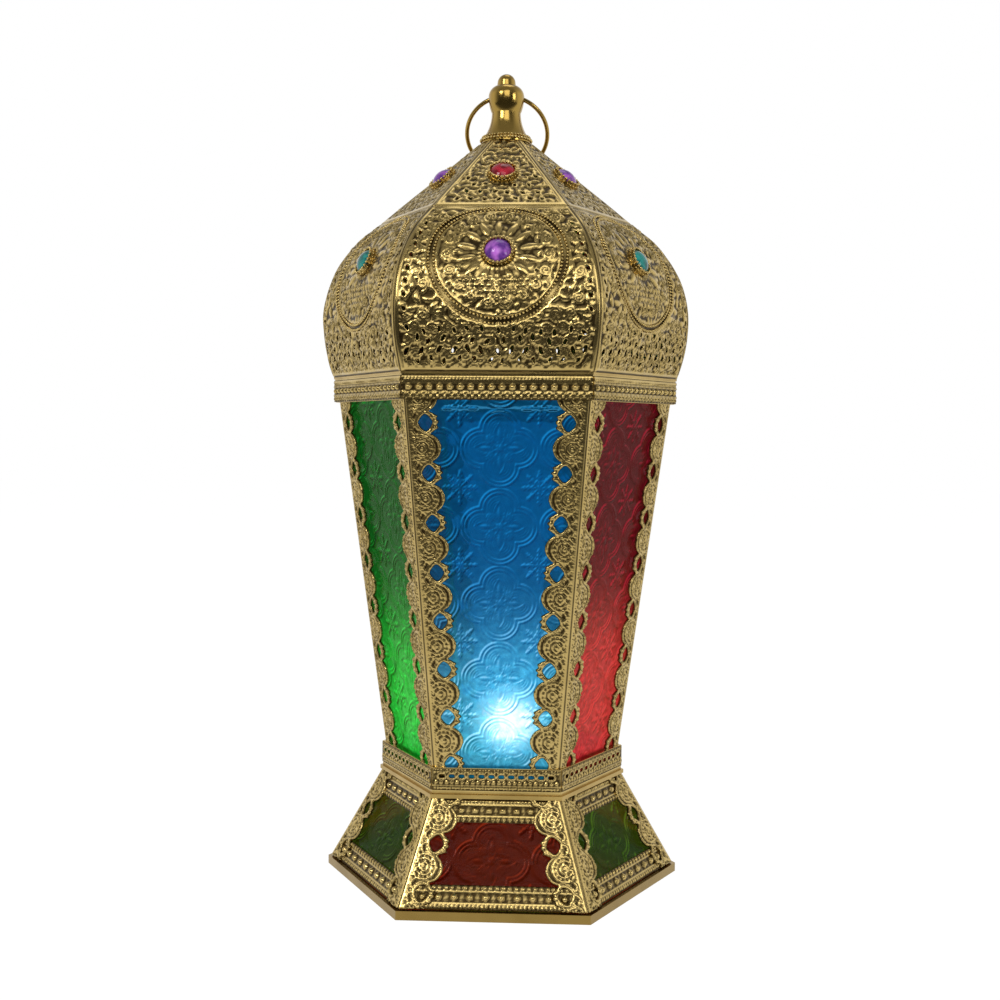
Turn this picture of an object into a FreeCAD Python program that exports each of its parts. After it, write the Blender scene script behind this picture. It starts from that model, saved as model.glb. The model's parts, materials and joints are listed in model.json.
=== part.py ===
import FreeCAD, Part
import math
import os
import Sketcher
from FreeCAD import Placement, Rotation, Vector

# A hexagonal lantern: sloping glazed base, tall glazed body that widens upwards, onion dome, finial
# with a carrying ring, and a rear door to the light. +Z is up, the origin is the bottom centre, the
# front side faces -Y and the door is in the back side. Radii of hexagons are to their corners.

SIZES = {
    # sheet metal, glass and the clearances between pieces
    "sheet_gauge": 0.6,
    "band_gauge": 0.8,
    "plate_gauge": 0.8,
    "glass_gauge": 2.0,
    "glass_clearance": 0.2,
    "pane_margin": 2.6,
    "seam_clearance": 0.15,
    "swing_clearance": 0.4,
    # base
    "rim_radius": 75.6,
    "rim_height": 3.6,
    "rim_wall": 1.4,
    "rim_roll": 0.9,
    "rim_gap": 0.6,
    "base_foot_inset": 1.2,
    "base_neck_radius": 51.8,
    "base_height": 42.6,
    "neck_ring_overhang": 1.0,
    "neck_ring_height": 1.6,
    "neck_ring_width": 8.0,
    "bead_strip_width": 9.4,
    "base_pane_inset": 3.0,
    # floor, body and bands
    "floor_gauge": 1.0,
    "lower_band_inset": 1.1,
    "lower_band_height": 9.6,
    "band_hole_count": 12,
    "band_hole_width": 2.4,
    "band_hole_height": 1.4,
    "band_hole_drop": 3.3,
    "body_foot_inset": 1.3,
    "body_head_radius": 70.7,
    "body_height": 146.6,
    "body_pane_inset": 1.0,
    "upper_band_overhang": 1.7,
    "upper_band_height": 9.9,
    "lip_height": 2.4,
    "lip_overhang": 0.5,
    # corner posts and pierced lace strips
    "post_width": 3.6,
    "post_end_gap": 0.3,
    "lace_width": 12.6,
    "lace_pitch": 19.7,
    "lace_notch": 4.0,
    "lace_tip_width": 6.8,
    "lace_tip_rise": 1.2,
    "lace_notch_width": 1.0,
    "lace_hole_offset": 7.2,
    "lace_hole_length": 6.8,
    "lace_hole_width": 5.6,
    "lace_hole_bulge": 0.35,
    "lace_tuck": 1.6,
    "lace_phase": 2.4,
    "base_lace_phase": 8.0,
    # dome and crown
    "seat_gauge": 0.8,
    "seat_width": 10.0,
    "dome_gauge": 0.7,
    "dome_rim_overhang": 1.0,
    "dome_belly_swell": 4.6,
    "dome_belly_height": 24.0,
    "dome_shoulder_inset": 17.5,
    "dome_shoulder_height": 59.5,
    "crown_foot_inset": 7.2,
    "crown_top_margin": 0.6,
    "crown_top_height": 98.9,
    "leaf_hole_length": 4.2,
    "leaf_hole_width": 1.9,
    "leaf_row_height": 7.0,
    "leaf_row_pitch": 7.4,
    "leaf_row_spacing": 5.6,
    "leaf_row_margin": 5.0,
    "crown_leaf_height": 6.0,
    # forms pressed out of the dome petals
    "relief_height": 0.5,
    "relief_root": 0.2,
    "hem_margin": 0.8,
    "hem_height": 1.2,
    "rib_border_margin": 1.6,
    "rib_border_width": 1.2,
    "medallion_radius": 25.4,
    "medallion_drop": 1.6,
    "medallion_ring_gap": 3.8,
    "medallion_ring_width": 0.9,
    "rosette_leaves": 14,
    "rosette_leaf_width": 3.0,
    "rosette_inner_radius": 9.0,
    "rosette_outer_radius": 15.6,
    # gems
    "gem_radius": 5.0,
    "gem_edge": 1.0,
    "gem_crown": 2.4,
    "gem_clearance": 0.1,
    "bezel_wall": 0.9,
    "bezel_floor": 0.5,
    "bezel_height": 2.2,
    "bezel_teeth": 18,
    "bezel_notch_width": 0.7,
    "bezel_notch_depth": 0.8,
    "dome_gem_height": 45.1,
    "crown_gem_drop": 17.8,
    # finial
    "finial_skirt_radius": 10.4,
    "finial_skirt_edge": 1.4,
    "finial_skirt_curve": 18.2,
    "finial_waist_radius": 6.1,
    "finial_waist_height": 12.8,
    "finial_bulb_radius": 7.5,
    "finial_bulb_height": 20.2,
    "finial_bulb_curve": 16.3,
    "finial_shoulder_curve": 4.8,
    "finial_neck_radius": 4.0,
    "finial_neck_height": 24.3,
    "finial_knob_radius": 3.7,
    "finial_knob_height": 26.4,
    "finial_height": 29.2,
    "finial_wall": 0.9,
    "stud_radius": 2.0,
    "stud_rise": 9.0,
    "stud_drop": 7.0,
    "nut_radius": 4.2,
    "nut_height": 3.2,
    "washer_gauge": 1.2,
    "washer_drop": 2.6,
    # carrying ring
    "ring_radius": 17.3,
    "ring_wire_radius": 0.9,
    "ring_pivot_height": 18.7,
    "ring_hole_radius": 1.45,
    "ring_rest_clearance": 0.8,
    # rear door, hinges and turn button
    "door_edge_gap": 1.0,
    "door_end_gap": 1.2,
    "door_stile": 4.4,
    "door_rail": 6.0,
    "door_pane_inset": 2.0,
    "knuckle_radius": 1.5,
    "knuckle_width": 4.0,
    "knuckle_play": 0.15,
    "strap_length": 7.5,
    "pin_radius": 0.7,
    "pin_fit": 0.05,
    "pin_head_radius": 1.1,
    "pin_head_height": 0.7,
    "hinge_end_distance": 27.0,
    "button_length": 13.0,
    "button_width": 4.6,
    "button_gauge": 0.9,
    "button_rise": 3.3,
    "button_end_ease": 0.05,
    "button_fit": 0.05,
    "rivet_radius": 1.1,
    "rivet_shoulder_radius": 2.0,
    "rivet_shoulder_height": 1.1,
    "rivet_head_radius": 2.1,
    "rivet_head_height": 0.9,
    # light cup and battery tealight
    "cup_height": 8.0,
    "cup_wall": 0.6,
    "cup_fit": 0.6,
    "tealight_radius": 19.2,
    "tealight_height": 15.0,
    "tealight_dish_radius": 15.5,
    "tealight_dish_depth": 2.6,
    "tealight_dish_floor_radius": 7.8,
    "tealight_wall": 1.4,
    "tealight_base_recess": 1.4,
    "flame_radius": 5.2,
    "flame_height": 15.0,
    "flame_belly_height": 3.7,
    "flame_tip_radius": 0.5,
    "flame_curve": 25.5,
    "flame_seat": 2.0,
    "switch_length": 5.0,
    "switch_width": 3.0,
    "switch_travel": 2.5,
    "switch_depth": 1.6,
    "switch_drop": 0.6,
    "switch_offset": 9.0,
    "switch_fit": 0.2,
}

# Sizes that follow the piece they stand on, lie in or cover
FOLLOWING = {
    "base_foot_radius": "rim_radius - base_foot_inset",
    "neck_ring_radius": "base_neck_radius + neck_ring_overhang",
    "lower_band_radius": "neck_ring_radius - lower_band_inset",
    "body_foot_radius": "lower_band_radius - body_foot_inset",
    "upper_band_radius": "body_head_radius + upper_band_overhang",
    "dome_rim_radius": "upper_band_radius + dome_rim_overhang",
    "dome_belly_radius": "dome_rim_radius + dome_belly_swell",
    "dome_shoulder_radius": "dome_belly_radius - dome_shoulder_inset",
    "crown_foot_radius": "dome_shoulder_radius - crown_foot_inset",
    "crown_top_radius": "finial_skirt_radius + crown_top_margin",
    "crown_gem_height": "crown_top_height - crown_gem_drop",
}

COS30 = math.cos(math.radians(30))
ZERO = "0"
SIDES = ("front", "front_right", "back_right", "back", "back_left", "front_left")
DOOR_SIDE = SIDES.index("back")
UP = Vector(0, 0, 1)

doc = FreeCAD.newDocument("lantern")
sheet = doc.addObject("Spreadsheet::Sheet", "sizes")
cells = {alias: str(number) for alias, number in SIZES.items()}
cells.update({alias: f"={formula}" for alias, formula in FOLLOWING.items()})
for row, (alias, content) in enumerate(cells.items(), start=1):
    sheet.set(f"A{row}", alias)
    sheet.set(f"B{row}", content)
    sheet.setAlias(f"B{row}", alias)
doc.recompute()

PIECES = []


def value(expression):
    """The number that an expression on the sheet's sizes gives."""
    return float(sheet.evalExpression(expression))


def size(alias):
    return float(sheet.get(alias))


# Levels from the ground up, as expressions on the sheet
BASE_FOOT_Z = "(sizes.rim_height + sizes.rim_gap)"
NECK_Z = "sizes.base_height"
FLOOR_UNDER_Z = f"({NECK_Z} + sizes.neck_ring_height)"
FLOOR_Z = f"({FLOOR_UNDER_Z} + sizes.floor_gauge)"
FOOT_Z = f"({FLOOR_Z} + sizes.lower_band_height)"
HEAD_Z = f"({FOOT_Z} + sizes.body_height)"
SEAT_Z = f"({HEAD_Z} + sizes.upper_band_height)"
DOME_Z = f"({SEAT_Z} + sizes.seat_gauge)"
FINIAL_Z = f"({DOME_Z} + sizes.crown_top_height)"
RING_Z = f"({FINIAL_Z} + sizes.ring_pivot_height)"


def keep(piece, label):
    """Name a finished sub-part; its label names its file."""
    piece.Label = label
    PIECES.append(piece)
    return piece


def new_body(name):
    return doc.addObject("PartDesign::Body", name)


def new_sketch(body, name, role, offset=None):
    """A sketch on one of the body's own origin planes, raised by an expression along its normal."""
    sketch = body.newObject("Sketcher::SketchObject", name)
    plane = next(item for item in body.Origin.OriginFeatures if item.Role == role)
    sketch.AttachmentSupport = [(plane, "")]
    sketch.MapMode = "FlatFace"
    if offset:
        sketch.setExpression("AttachmentOffset.Base.z", offset)
    return sketch


def arc_between(start, end, radius):
    """An arc of the given radius that bulges to the right of start-to-end, or left if negative."""
    chord = end - start
    right = Vector(chord.y, -chord.x, 0)
    right.normalize()
    offset = math.sqrt(max(radius ** 2 - (chord.Length / 2) ** 2, 0.0))
    centre = (start + end) * 0.5 - right * math.copysign(offset, radius)
    first, last = (start, end) if radius > 0 else (end, start)
    angles = [math.atan2(point.y - centre.y, point.x - centre.x) for point in (first, last)]
    if angles[1] < angles[0]:
        angles[1] += 2 * math.pi
    return Part.ArcOfCircle(Part.Circle(centre, UP, abs(radius)), *angles)


def outline(sketch, corners, bulges=None):
    """A closed outline through corners given as expressions, each coordinate a bound dimension.

    bulges maps the index of a corner to the expression of the radius of the arc that starts there.
    """
    bulges = bulges or {}
    points = [Vector(value(x), value(y), 0) for x, y in corners]
    edges = []
    for index, start in enumerate(points):
        end = points[(index + 1) % len(points)]
        if index in bulges:
            curve = arc_between(start, end, value(bulges[index]))
        else:
            curve = Part.LineSegment(start, end)
        number = sketch.addGeometry(curve)
        forward = (sketch.Geometry[number].StartPoint - start).Length < 1e-6
        edges.append((number, 1 if forward else 2, 2 if forward else 1))
    for index, (number, first, last) in enumerate(edges):
        following = edges[(index + 1) % len(edges)]
        sketch.addConstraint(Sketcher.Constraint("Coincident", number, last, following[0], following[1]))
        for kind, expression, datum in zip(("DistanceX", "DistanceY"), corners[index],
                                           (points[index].x, points[index].y)):
            place = Sketcher.Constraint(kind, -1, 1, number, first, datum)
            sketch.setExpression(f"Constraints[{sketch.addConstraint(place)}]", expression)
        if index in bulges:
            radius = Sketcher.Constraint("Radius", number, abs(value(bulges[index])))
            sketch.setExpression(f"Constraints[{sketch.addConstraint(radius)}]", f"abs({bulges[index]})")


def round_hole(sketch, x, y, radius):
    """A circle placed and sized by bound dimensions."""
    number = sketch.addGeometry(Part.Circle(Vector(value(x), value(y), 0), UP, value(radius)))
    for kind, expression in (("DistanceX", x), ("DistanceY", y)):
        place = Sketcher.Constraint(kind, -1, 1, number, 3, value(expression))
        sketch.setExpression(f"Constraints[{sketch.addConstraint(place)}]", expression)
    width = Sketcher.Constraint("Radius", number, value(radius))
    sketch.setExpression(f"Constraints[{sketch.addConstraint(width)}]", radius)


def hexagon(sketch, radius):
    corners = [math.radians(60 * index) for index in range(6)]
    outline(sketch, [(f"({radius}) * {math.cos(angle):.9f}", f"({radius}) * {math.sin(angle):.9f}")
                     for angle in corners])


def rectangle(sketch, left, right, bottom, top):
    outline(sketch, [(left, bottom), (right, bottom), (right, top), (left, top)])


def pad(body, sketch, length, symmetric=False):
    feature = body.newObject("PartDesign::Pad", sketch.Name + "_pad")
    feature.Profile = sketch
    feature.SideType = "Symmetric" if symmetric else "One side"
    feature.setExpression("Length", length)
    return feature


def pocket(body, sketch, backwards=False, symmetric=False):
    """A cut through the whole body, along the sketch's normal if backwards."""
    feature = body.newObject("PartDesign::Pocket", sketch.Name + "_cut")
    feature.Profile = sketch
    feature.Type = "ThroughAll"
    feature.SideType = "Symmetric" if symmetric else "One side"
    feature.Reversed = backwards
    return feature


def revolve(body, sketch):
    feature = body.newObject("PartDesign::Revolution", sketch.Name + "_turn")
    feature.Profile = sketch
    feature.ReferenceAxis = (sketch, ["V_Axis"])
    feature.Angle = 360
    return feature


def groove(body, sketch):
    feature = body.newObject("PartDesign::Groove", sketch.Name + "_groove")
    feature.Profile = sketch
    feature.ReferenceAxis = (sketch, ["V_Axis"])
    feature.Angle = 360
    return feature


def around(body, features, count):
    """Repeat features evenly round the body's own upright axis."""
    feature = body.newObject("PartDesign::PolarPattern", features[0].Name + "_round")
    feature.Originals = features
    axis = next(item for item in body.Origin.OriginFeatures if item.Role == "Z_Axis")
    feature.Axis = (axis, [""])
    feature.Angle = 360
    feature.Occurrences = count
    body.Tip = feature
    return feature


def group(label, master, placements):
    """One node of equal, separate solids: links to a master piece, each at its own place."""
    links = []
    for index, place in enumerate(placements, start=1):
        link = doc.addObject("App::Link", f"{label}_{index}")
        link.LinkedObject = master
        link.LinkTransform = False
        link.Placement = place
        links.append(link)
    compound = doc.addObject("Part::Compound", label)
    compound.Links = links
    return keep(compound, label)


def solid_piece(name, shape, place=None):
    """A piece whose outline is worked out in code from the sheet's sizes."""
    feature = doc.addObject("Part::Feature", name)
    feature.Shape = shape
    feature.Placement = (place or Placement()) * shape.Placement
    return feature


class Taper:
    """Six flat sides between two levels, from the corner radii there, all as expressions."""

    def __init__(self, foot_radius, head_radius, foot_z, head_z):
        self.foot_radius = foot_radius
        self.foot_z = foot_z
        self.rise = f"(({head_radius} - {foot_radius}) / ({head_z} - {foot_z}))"
        self.stretch = f"sqrt(1 + ({COS30:.9f} * {self.rise})^2)"
        rise = value(self.rise)
        self.lean = math.atan(rise * COS30)
        self.corner_lean = math.atan(rise)
        self.edge_slant = math.atan(rise / 2 * math.cos(self.lean))
        self.turn = math.acos(0.5 * math.cos(self.lean) ** 2 + math.sin(self.lean) ** 2)

    def radius(self, level):
        return f"({self.foot_radius} + {self.rise} * ({level} - {self.foot_z}))"

    def side(self, index, level):
        """Frame in the middle of a side at a level: X to the right, Y up the slope, Z outwards."""
        point = Vector(0, -value(self.radius(level)) * COS30, value(level))
        tilt = Rotation(Vector(1, 0, 0), 90 + math.degrees(self.lean))
        return Placement(Vector(), Rotation(UP, 60 * index)) * Placement(point, tilt)

    def corner(self, index, level):
        """Frame on the corner after a side at a level: X up the edge, Z outwards, +Y to that side."""
        along = Vector(math.sin(self.corner_lean), 0, math.cos(self.corner_lean))
        outward = Vector(math.cos(self.corner_lean), 0, -math.sin(self.corner_lean))
        point = Vector(value(self.radius(level)), 0, value(level))
        turned = Placement(point, Rotation(along, Vector(0, -1, 0), outward, "XZY"))
        return Placement(Vector(), Rotation(UP, 60 * index - 60)) * turned

    def edge_length(self, low, high):
        return (value(high) - value(low)) / math.cos(self.corner_lean)


BASE = Taper("sizes.base_foot_radius", "sizes.base_neck_radius", "sizes.rim_height", NECK_Z)
BODY = Taper("sizes.body_foot_radius", "sizes.body_head_radius", FOOT_Z, HEAD_Z)


def side_plate(name, taper, index, low, high, margin, depth, gauge):
    """A flat plate that follows a side between two levels, its outer face at a depth under the skin."""
    body = new_body(name)
    sketch = new_sketch(body, name + "_outline", "XY_Plane")
    foot_half = f"{taper.radius(low)} / 2 - {margin}"
    head_half = f"{taper.radius(high)} / 2 - {margin}"
    length = f"({high} - {low}) * {taper.stretch}"
    outline(sketch, [(f"-({foot_half})", ZERO), (foot_half, ZERO),
                     (head_half, length), (f"-({head_half})", length)])
    pad(body, sketch, gauge)
    under = Placement(Vector(0, 0, -value(f"{depth} + {gauge}")), Rotation())
    body.Placement = taper.side(index, low) * under
    return body


def hex_ring(name, rings):
    """A ring of hexagonal steps, each given as outer radius, inner radius, bottom and height."""
    body = new_body(name)
    for index, (outer, inner, bottom, height) in enumerate(rings):
        sketch = new_sketch(body, f"{name}_step_{index}", "XY_Plane", bottom)
        hexagon(sketch, outer)
        hexagon(sketch, inner)
        pad(body, sketch, height)
    return body


def hex_plate(label, radius, bottom, height):
    body = new_body(label)
    sketch = new_sketch(body, label + "_outline", "XY_Plane", bottom)
    hexagon(sketch, radius)
    pad(body, sketch, height)
    return keep(body, label)


def plain_wing(length, width, slant):
    """A straight strip along a corner edge, its ends level: x up the edge, y across the side."""
    shift = -width * math.tan(slant)
    corners = [Vector(0, 0, 0), Vector(length, 0, 0), Vector(length + shift, width, 0),
               Vector(shift, width, 0)]
    return Part.Face(Part.makePolygon(corners + corners[:1]))


def lace_hole(x):
    """A rounded diamond, centred on the lobe at x."""
    length = size("lace_hole_length") / 2
    width = size("lace_hole_width") / 2
    bulge = size("lace_hole_bulge")
    middle = Vector(x, size("lace_hole_offset"), 0)
    tips = [Vector(length, 0, 0), Vector(0, width, 0), Vector(-length, 0, 0), Vector(0, -width, 0)]
    edges = []
    for index, tip in enumerate(tips):
        following = tips[(index + 1) % 4]
        outward = tip + following
        outward.normalize()
        halfway = (tip + following) * 0.5 + outward * bulge
        edges.append(Part.Arc(middle + tip, middle + halfway, middle + following).toShape())
    return Part.Face(Part.Wire(edges))


def lace_wing(length, slant, phase):
    """The scalloped, pierced strip: blunt pierced lobes and round lobes in turn, ends cut level."""
    width = size("lace_width")
    pitch = size("lace_pitch")
    tip = size("lace_tip_width") / 2
    shoulder = width - size("lace_tip_rise")
    valley = width - size("lace_notch")
    notch = tip + size("lace_notch_width")
    spread = abs(width * math.tan(slant))
    first = math.floor((-spread - phase) / pitch) - 1
    last = math.ceil((length + spread - phase) / pitch) + 1
    centres = [phase + pitch * index for index in range(first, last + 1)]
    edges = []
    for x in centres:
        edges.append(Part.LineSegment(Vector(x - notch, valley, 0), Vector(x - tip, shoulder, 0)).toShape())
        edges.append(Part.Arc(Vector(x - tip, shoulder, 0), Vector(x, width, 0),
                              Vector(x + tip, shoulder, 0)).toShape())
        edges.append(Part.LineSegment(Vector(x + tip, shoulder, 0), Vector(x + notch, valley, 0)).toShape())
        if x != centres[-1]:
            edges.append(Part.Arc(Vector(x + notch, valley, 0), Vector(x + pitch / 2, width, 0),
                                  Vector(x + pitch - notch, valley, 0)).toShape())
    start = Vector(centres[0] - notch, valley, 0)
    end = Vector(centres[-1] + notch, valley, 0)
    corners = [end, Vector(end.x, 0, 0), Vector(start.x, 0, 0), start]
    edges += [Part.LineSegment(a, b).toShape() for a, b in zip(corners, corners[1:])]
    strip = Part.Face(Part.Wire(Part.__sortEdges__(edges)))
    strip = strip.cut([lace_hole(x) for x in centres])
    return strip.common(plain_wing(length, width, slant))


def wing_solid(face, taper, depth, gauge):
    """Thicken a wing under or, at a negative depth, on the skin of its side, in the corner's frame."""
    solid = face.extrude(Vector(0, 0, gauge))
    solid.translate(Vector(0, max(depth, 0.0) * math.tan(taper.turn / 2), -depth - gauge))
    return solid.rotate(Vector(), Vector(1, 0, 0), -math.degrees(taper.turn / 2))


def folded(solid):
    """Both wings of a strip folded along a corner."""
    other = solid.mirror(Vector(), Vector(0, 1, 0))
    return solid.fuse(other).removeSplitter()


def make_base():
    """Rim, bottom plate, neck ring, posts, lace, beaded strips and the six panes of the base."""
    gauge = "sizes.sheet_gauge"
    inner_rim = "(sizes.rim_radius - sizes.rim_wall)"
    roll = "sizes.rim_roll"
    keep(hex_ring("base_rim", [
        ("sizes.rim_radius", inner_rim, ZERO, "sizes.rim_height"),
        (f"sizes.rim_radius - {roll}", inner_rim + f" - {roll}", f"sizes.rim_height - {roll}", roll),
    ]), "base_rim")
    hex_plate("bottom_plate", inner_rim, ZERO, "sizes.plate_gauge")
    keep(hex_ring("base_neck_ring", [
        ("sizes.neck_ring_radius", "sizes.neck_ring_radius - sizes.neck_ring_width", NECK_Z,
         "sizes.neck_ring_height"),
    ]), "base_neck_ring")

    length = BASE.edge_length(BASE_FOOT_Z, NECK_Z)
    post = wing_solid(plain_wing(length, size("post_width"), BASE.edge_slant), BASE,
                      size("sheet_gauge"), size("sheet_gauge"))
    lace = wing_solid(lace_wing(length, BASE.edge_slant, size("base_lace_phase")), BASE, 0.0,
                      size("sheet_gauge"))
    corners = [BASE.corner(index, BASE_FOOT_Z) for index in range(6)]
    group("base_corner_posts", solid_piece("base_corner_post", folded(post)), corners)
    group("base_corner_strips", solid_piece("base_corner_strip", folded(lace)), corners)

    strip_rise = f"sizes.bead_strip_width / {BASE.stretch}"
    strip_margin = "(sizes.post_width + sizes.sheet_gauge + sizes.seam_clearance)"
    strips = []
    for name, low, high in (("base_lower_strip", BASE_FOOT_Z, f"({BASE_FOOT_Z} + {strip_rise})"),
                            ("base_upper_strip", f"({NECK_Z} - {strip_rise})", NECK_Z)):
        for index in range(6):
            strips.append(side_plate(f"{name}_{index}", BASE, index, low, high, strip_margin, gauge, gauge))
    bead_strips = doc.addObject("Part::Compound", "base_bead_strips")
    bead_strips.Links = strips
    keep(bead_strips, "base_bead_strips")

    inset = f"sizes.base_pane_inset / {BASE.stretch}"
    depth = "(2 * sizes.sheet_gauge + sizes.glass_clearance)"
    for index, side in enumerate(SIDES):
        label = f"base_pane_{side}"
        keep(side_plate(label, BASE, index, f"(sizes.rim_height + {inset})", f"({NECK_Z} - {inset})",
                        "sizes.pane_margin", depth, "sizes.glass_gauge"), label)


def band_holes(body):
    """A row of lying ovals through one side of the lower band, then round all six."""
    sketch = new_sketch(body, "band_hole_row", "XZ_Plane")
    count = int(size("band_hole_count"))
    pitch = size("lower_band_radius") / (count + 1)
    middle = value(f"{FOOT_Z} - sizes.band_hole_drop")
    height = size("band_hole_height") / 2
    reach = size("band_hole_width") / 2 - height
    for index in range(count):
        x = pitch * (index - (count - 1) / 2)
        right, left = x + reach, x - reach
        top, bottom = middle + height, middle - height
        corners = [Vector(right, top, 0), Vector(left, top, 0), Vector(left, bottom, 0),
                   Vector(right, bottom, 0)]
        ends = Vector(left - height, middle, 0), Vector(right + height, middle, 0)
        sketch.addGeometry(Part.LineSegment(corners[0], corners[1]))
        sketch.addGeometry(Part.Arc(corners[1], ends[0], corners[2]))
        sketch.addGeometry(Part.LineSegment(corners[2], corners[3]))
        sketch.addGeometry(Part.Arc(corners[3], ends[1], corners[0]))
    around(body, [pocket(body, sketch, backwards=True)], 6)


def make_bands():
    """Floor plate, pierced lower band, lipped upper band and the seat that the dome stands on."""
    band_wall = f"sizes.band_gauge / {COS30:.9f}"
    hex_plate("floor_plate", "sizes.lower_band_radius", FLOOR_UNDER_Z, "sizes.floor_gauge")
    lower = hex_ring("lower_band", [
        ("sizes.lower_band_radius", f"sizes.lower_band_radius - {band_wall}", FLOOR_Z,
         "sizes.lower_band_height")])
    band_holes(lower)
    keep(lower, "lower_band")

    inner = f"sizes.upper_band_radius - {band_wall}"
    upper = hex_ring("upper_band", [
        ("sizes.upper_band_radius", inner, HEAD_Z, "sizes.upper_band_height"),
        ("sizes.upper_band_radius + sizes.lip_overhang", inner, f"({SEAT_Z} - sizes.lip_height)",
         "sizes.lip_height")])
    pivot = new_sketch(upper, "button_pivot", "XZ_Plane")
    round_hole(pivot, ZERO, f"{HEAD_Z} + sizes.button_rise", "sizes.rivet_radius")
    pocket(upper, pivot)
    keep(upper, "upper_band")
    keep(hex_ring("dome_seat", [
        ("sizes.dome_rim_radius", "sizes.dome_rim_radius - sizes.seat_width", SEAT_Z, "sizes.seat_gauge")]),
        "dome_seat")


def make_body():
    """Posts, lace strips and the five fixed panes of the body."""
    gauge = size("sheet_gauge")
    length = BODY.edge_length(FLOOR_Z, f"({SEAT_Z} - sizes.post_end_gap)")
    post = wing_solid(plain_wing(length, size("post_width"), BODY.edge_slant), BODY, gauge, gauge)
    group("corner_posts", solid_piece("corner_post", folded(post)),
          [BODY.corner(index, FLOOR_Z) for index in range(6)])

    low = f"({FOOT_Z} - sizes.lace_tuck)"
    high = f"({HEAD_Z} + sizes.lace_tuck)"
    face = lace_wing(BODY.edge_length(low, high), BODY.edge_slant, size("lace_phase"))
    wing = wing_solid(face, BODY, 0.0, gauge)
    for index, label in ((0, "corner_strip_front_right"), (1, "corner_strip_right"),
                         (4, "corner_strip_left"), (5, "corner_strip_front_left")):
        keep(solid_piece(label, folded(wing), BODY.corner(index, low)), label)
    single = solid_piece("corner_half_strip_right", wing, BODY.corner(DOOR_SIDE - 1, low))
    mirrored = wing.mirror(Vector(), Vector(0, 1, 0))
    other = solid_piece("corner_half_strip_left", mirrored, BODY.corner(DOOR_SIDE, low))
    halves = doc.addObject("Part::Compound", "corner_half_strips")
    halves.Links = [single, other]
    keep(halves, "corner_half_strips")

    depth = "(2 * sizes.sheet_gauge + sizes.glass_clearance)"
    for index, side in enumerate(SIDES):
        if index != DOOR_SIDE:
            label = f"pane_{side}"
            keep(side_plate(label, BODY, index, f"({FLOOR_Z} + sizes.body_pane_inset)",
                            f"({SEAT_Z} - sizes.body_pane_inset)", "sizes.pane_margin", depth,
                            "sizes.glass_gauge"), label)


class DomeProfile:
    """Middle line of a petal seen from the side: distance out from the axis against height."""

    def __init__(self):
        self.foot = value(DOME_Z)
        self.rim = size("dome_rim_radius") * COS30
        self.belly = size("dome_belly_radius") * COS30
        self.belly_z = self.foot + size("dome_belly_height")
        self.shoulder = size("dome_shoulder_radius") * COS30
        self.shoulder_z = self.foot + size("dome_shoulder_height")
        self.top = size("crown_top_radius") * COS30
        self.top_z = self.foot + size("crown_top_height")
        self.lower_radius = self.arc_radius(self.belly - self.rim, self.belly_z - self.foot)
        self.upper_radius = self.arc_radius(self.belly - self.shoulder, self.shoulder_z - self.belly_z)
        self.slope = (self.top - self.shoulder) / (self.top_z - self.shoulder_z)
        self.crown = size("crown_foot_radius") * COS30
        self.crown_z = self.shoulder_z + (self.crown - self.shoulder) / self.slope

    @staticmethod
    def arc_radius(inset, height):
        """Radius of an arc that is upright at the belly and comes in by inset over a height."""
        return (inset ** 2 + height ** 2) / (2 * inset)

    def out(self, z, gauge=0.0):
        """Distance out at height z, of the outer face or of a face a gauge further in."""
        if z > self.shoulder_z:
            return self.shoulder + self.slope * (z - self.shoulder_z) - gauge * math.hypot(1, self.slope)
        radius = self.lower_radius if z < self.belly_z else self.upper_radius
        return self.belly - radius + math.sqrt((radius - gauge) ** 2 - (z - self.belly_z) ** 2)

    def steepness(self, z):
        """Angle of the outer face from upright at height z, in degrees; positive leans inwards."""
        step = 0.01
        return math.degrees(math.atan((self.out(z - step) - self.out(z + step)) / (2 * step)))

    def place(self, index, z):
        """Frame on the outer face in the middle of a petal: Z outwards, Y up the slope."""
        tilt = Rotation(Vector(1, 0, 0), 90 - self.steepness(z))
        seat = Placement(Vector(0, -self.out(z), z), tilt)
        return Placement(Vector(), Rotation(UP, 60 * index)) * seat


DOME = DomeProfile()


def wedge_cut(body, name):
    """Trim a petal to its sixth of the dome, a seam clearance short of the rib on each side."""
    core = size("crown_top_radius") / 2
    reach = 2 * size("dome_belly_radius")
    play = size("seam_clearance") / 2 / COS30
    sketch = new_sketch(body, name, "XY_Plane")
    for side in (1, -1):
        inner = Vector(side * (core / 2 - play), -core * COS30, 0)
        outer = Vector(side * (reach / 2 - play), -reach * COS30, 0)
        corners = [inner, outer, Vector(side * reach, outer.y, 0), Vector(side * reach, inner.y, 0)]
        for start, end in zip(corners, corners[1:] + corners[:1]):
            sketch.addGeometry(Part.LineSegment(start, end))
    pocket(body, sketch, symmetric=True)


def leaf_hole(sketch, x, z):
    """A pointed leaf standing upright, seen from the front."""
    length = size("leaf_hole_length") / 2
    width = size("leaf_hole_width") / 2
    top, bottom = Vector(x, z + length, 0), Vector(x, z - length, 0)
    sketch.addGeometry(Part.Arc(bottom, Vector(x + width, z, 0), top))
    sketch.addGeometry(Part.Arc(top, Vector(x - width, z, 0), bottom))


def leaf_row(sketch, z, shift):
    """Leaves side by side at one height, as many as the petal's width takes."""
    room = DOME.out(z) * math.tan(math.radians(30)) - size("leaf_row_margin")
    spacing = size("leaf_row_spacing")
    reach = math.floor((room - shift * spacing) / spacing)
    for index in range(-reach - (1 if shift else 0), reach + 1):
        leaf_hole(sketch, (index + shift) * spacing, z)


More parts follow.
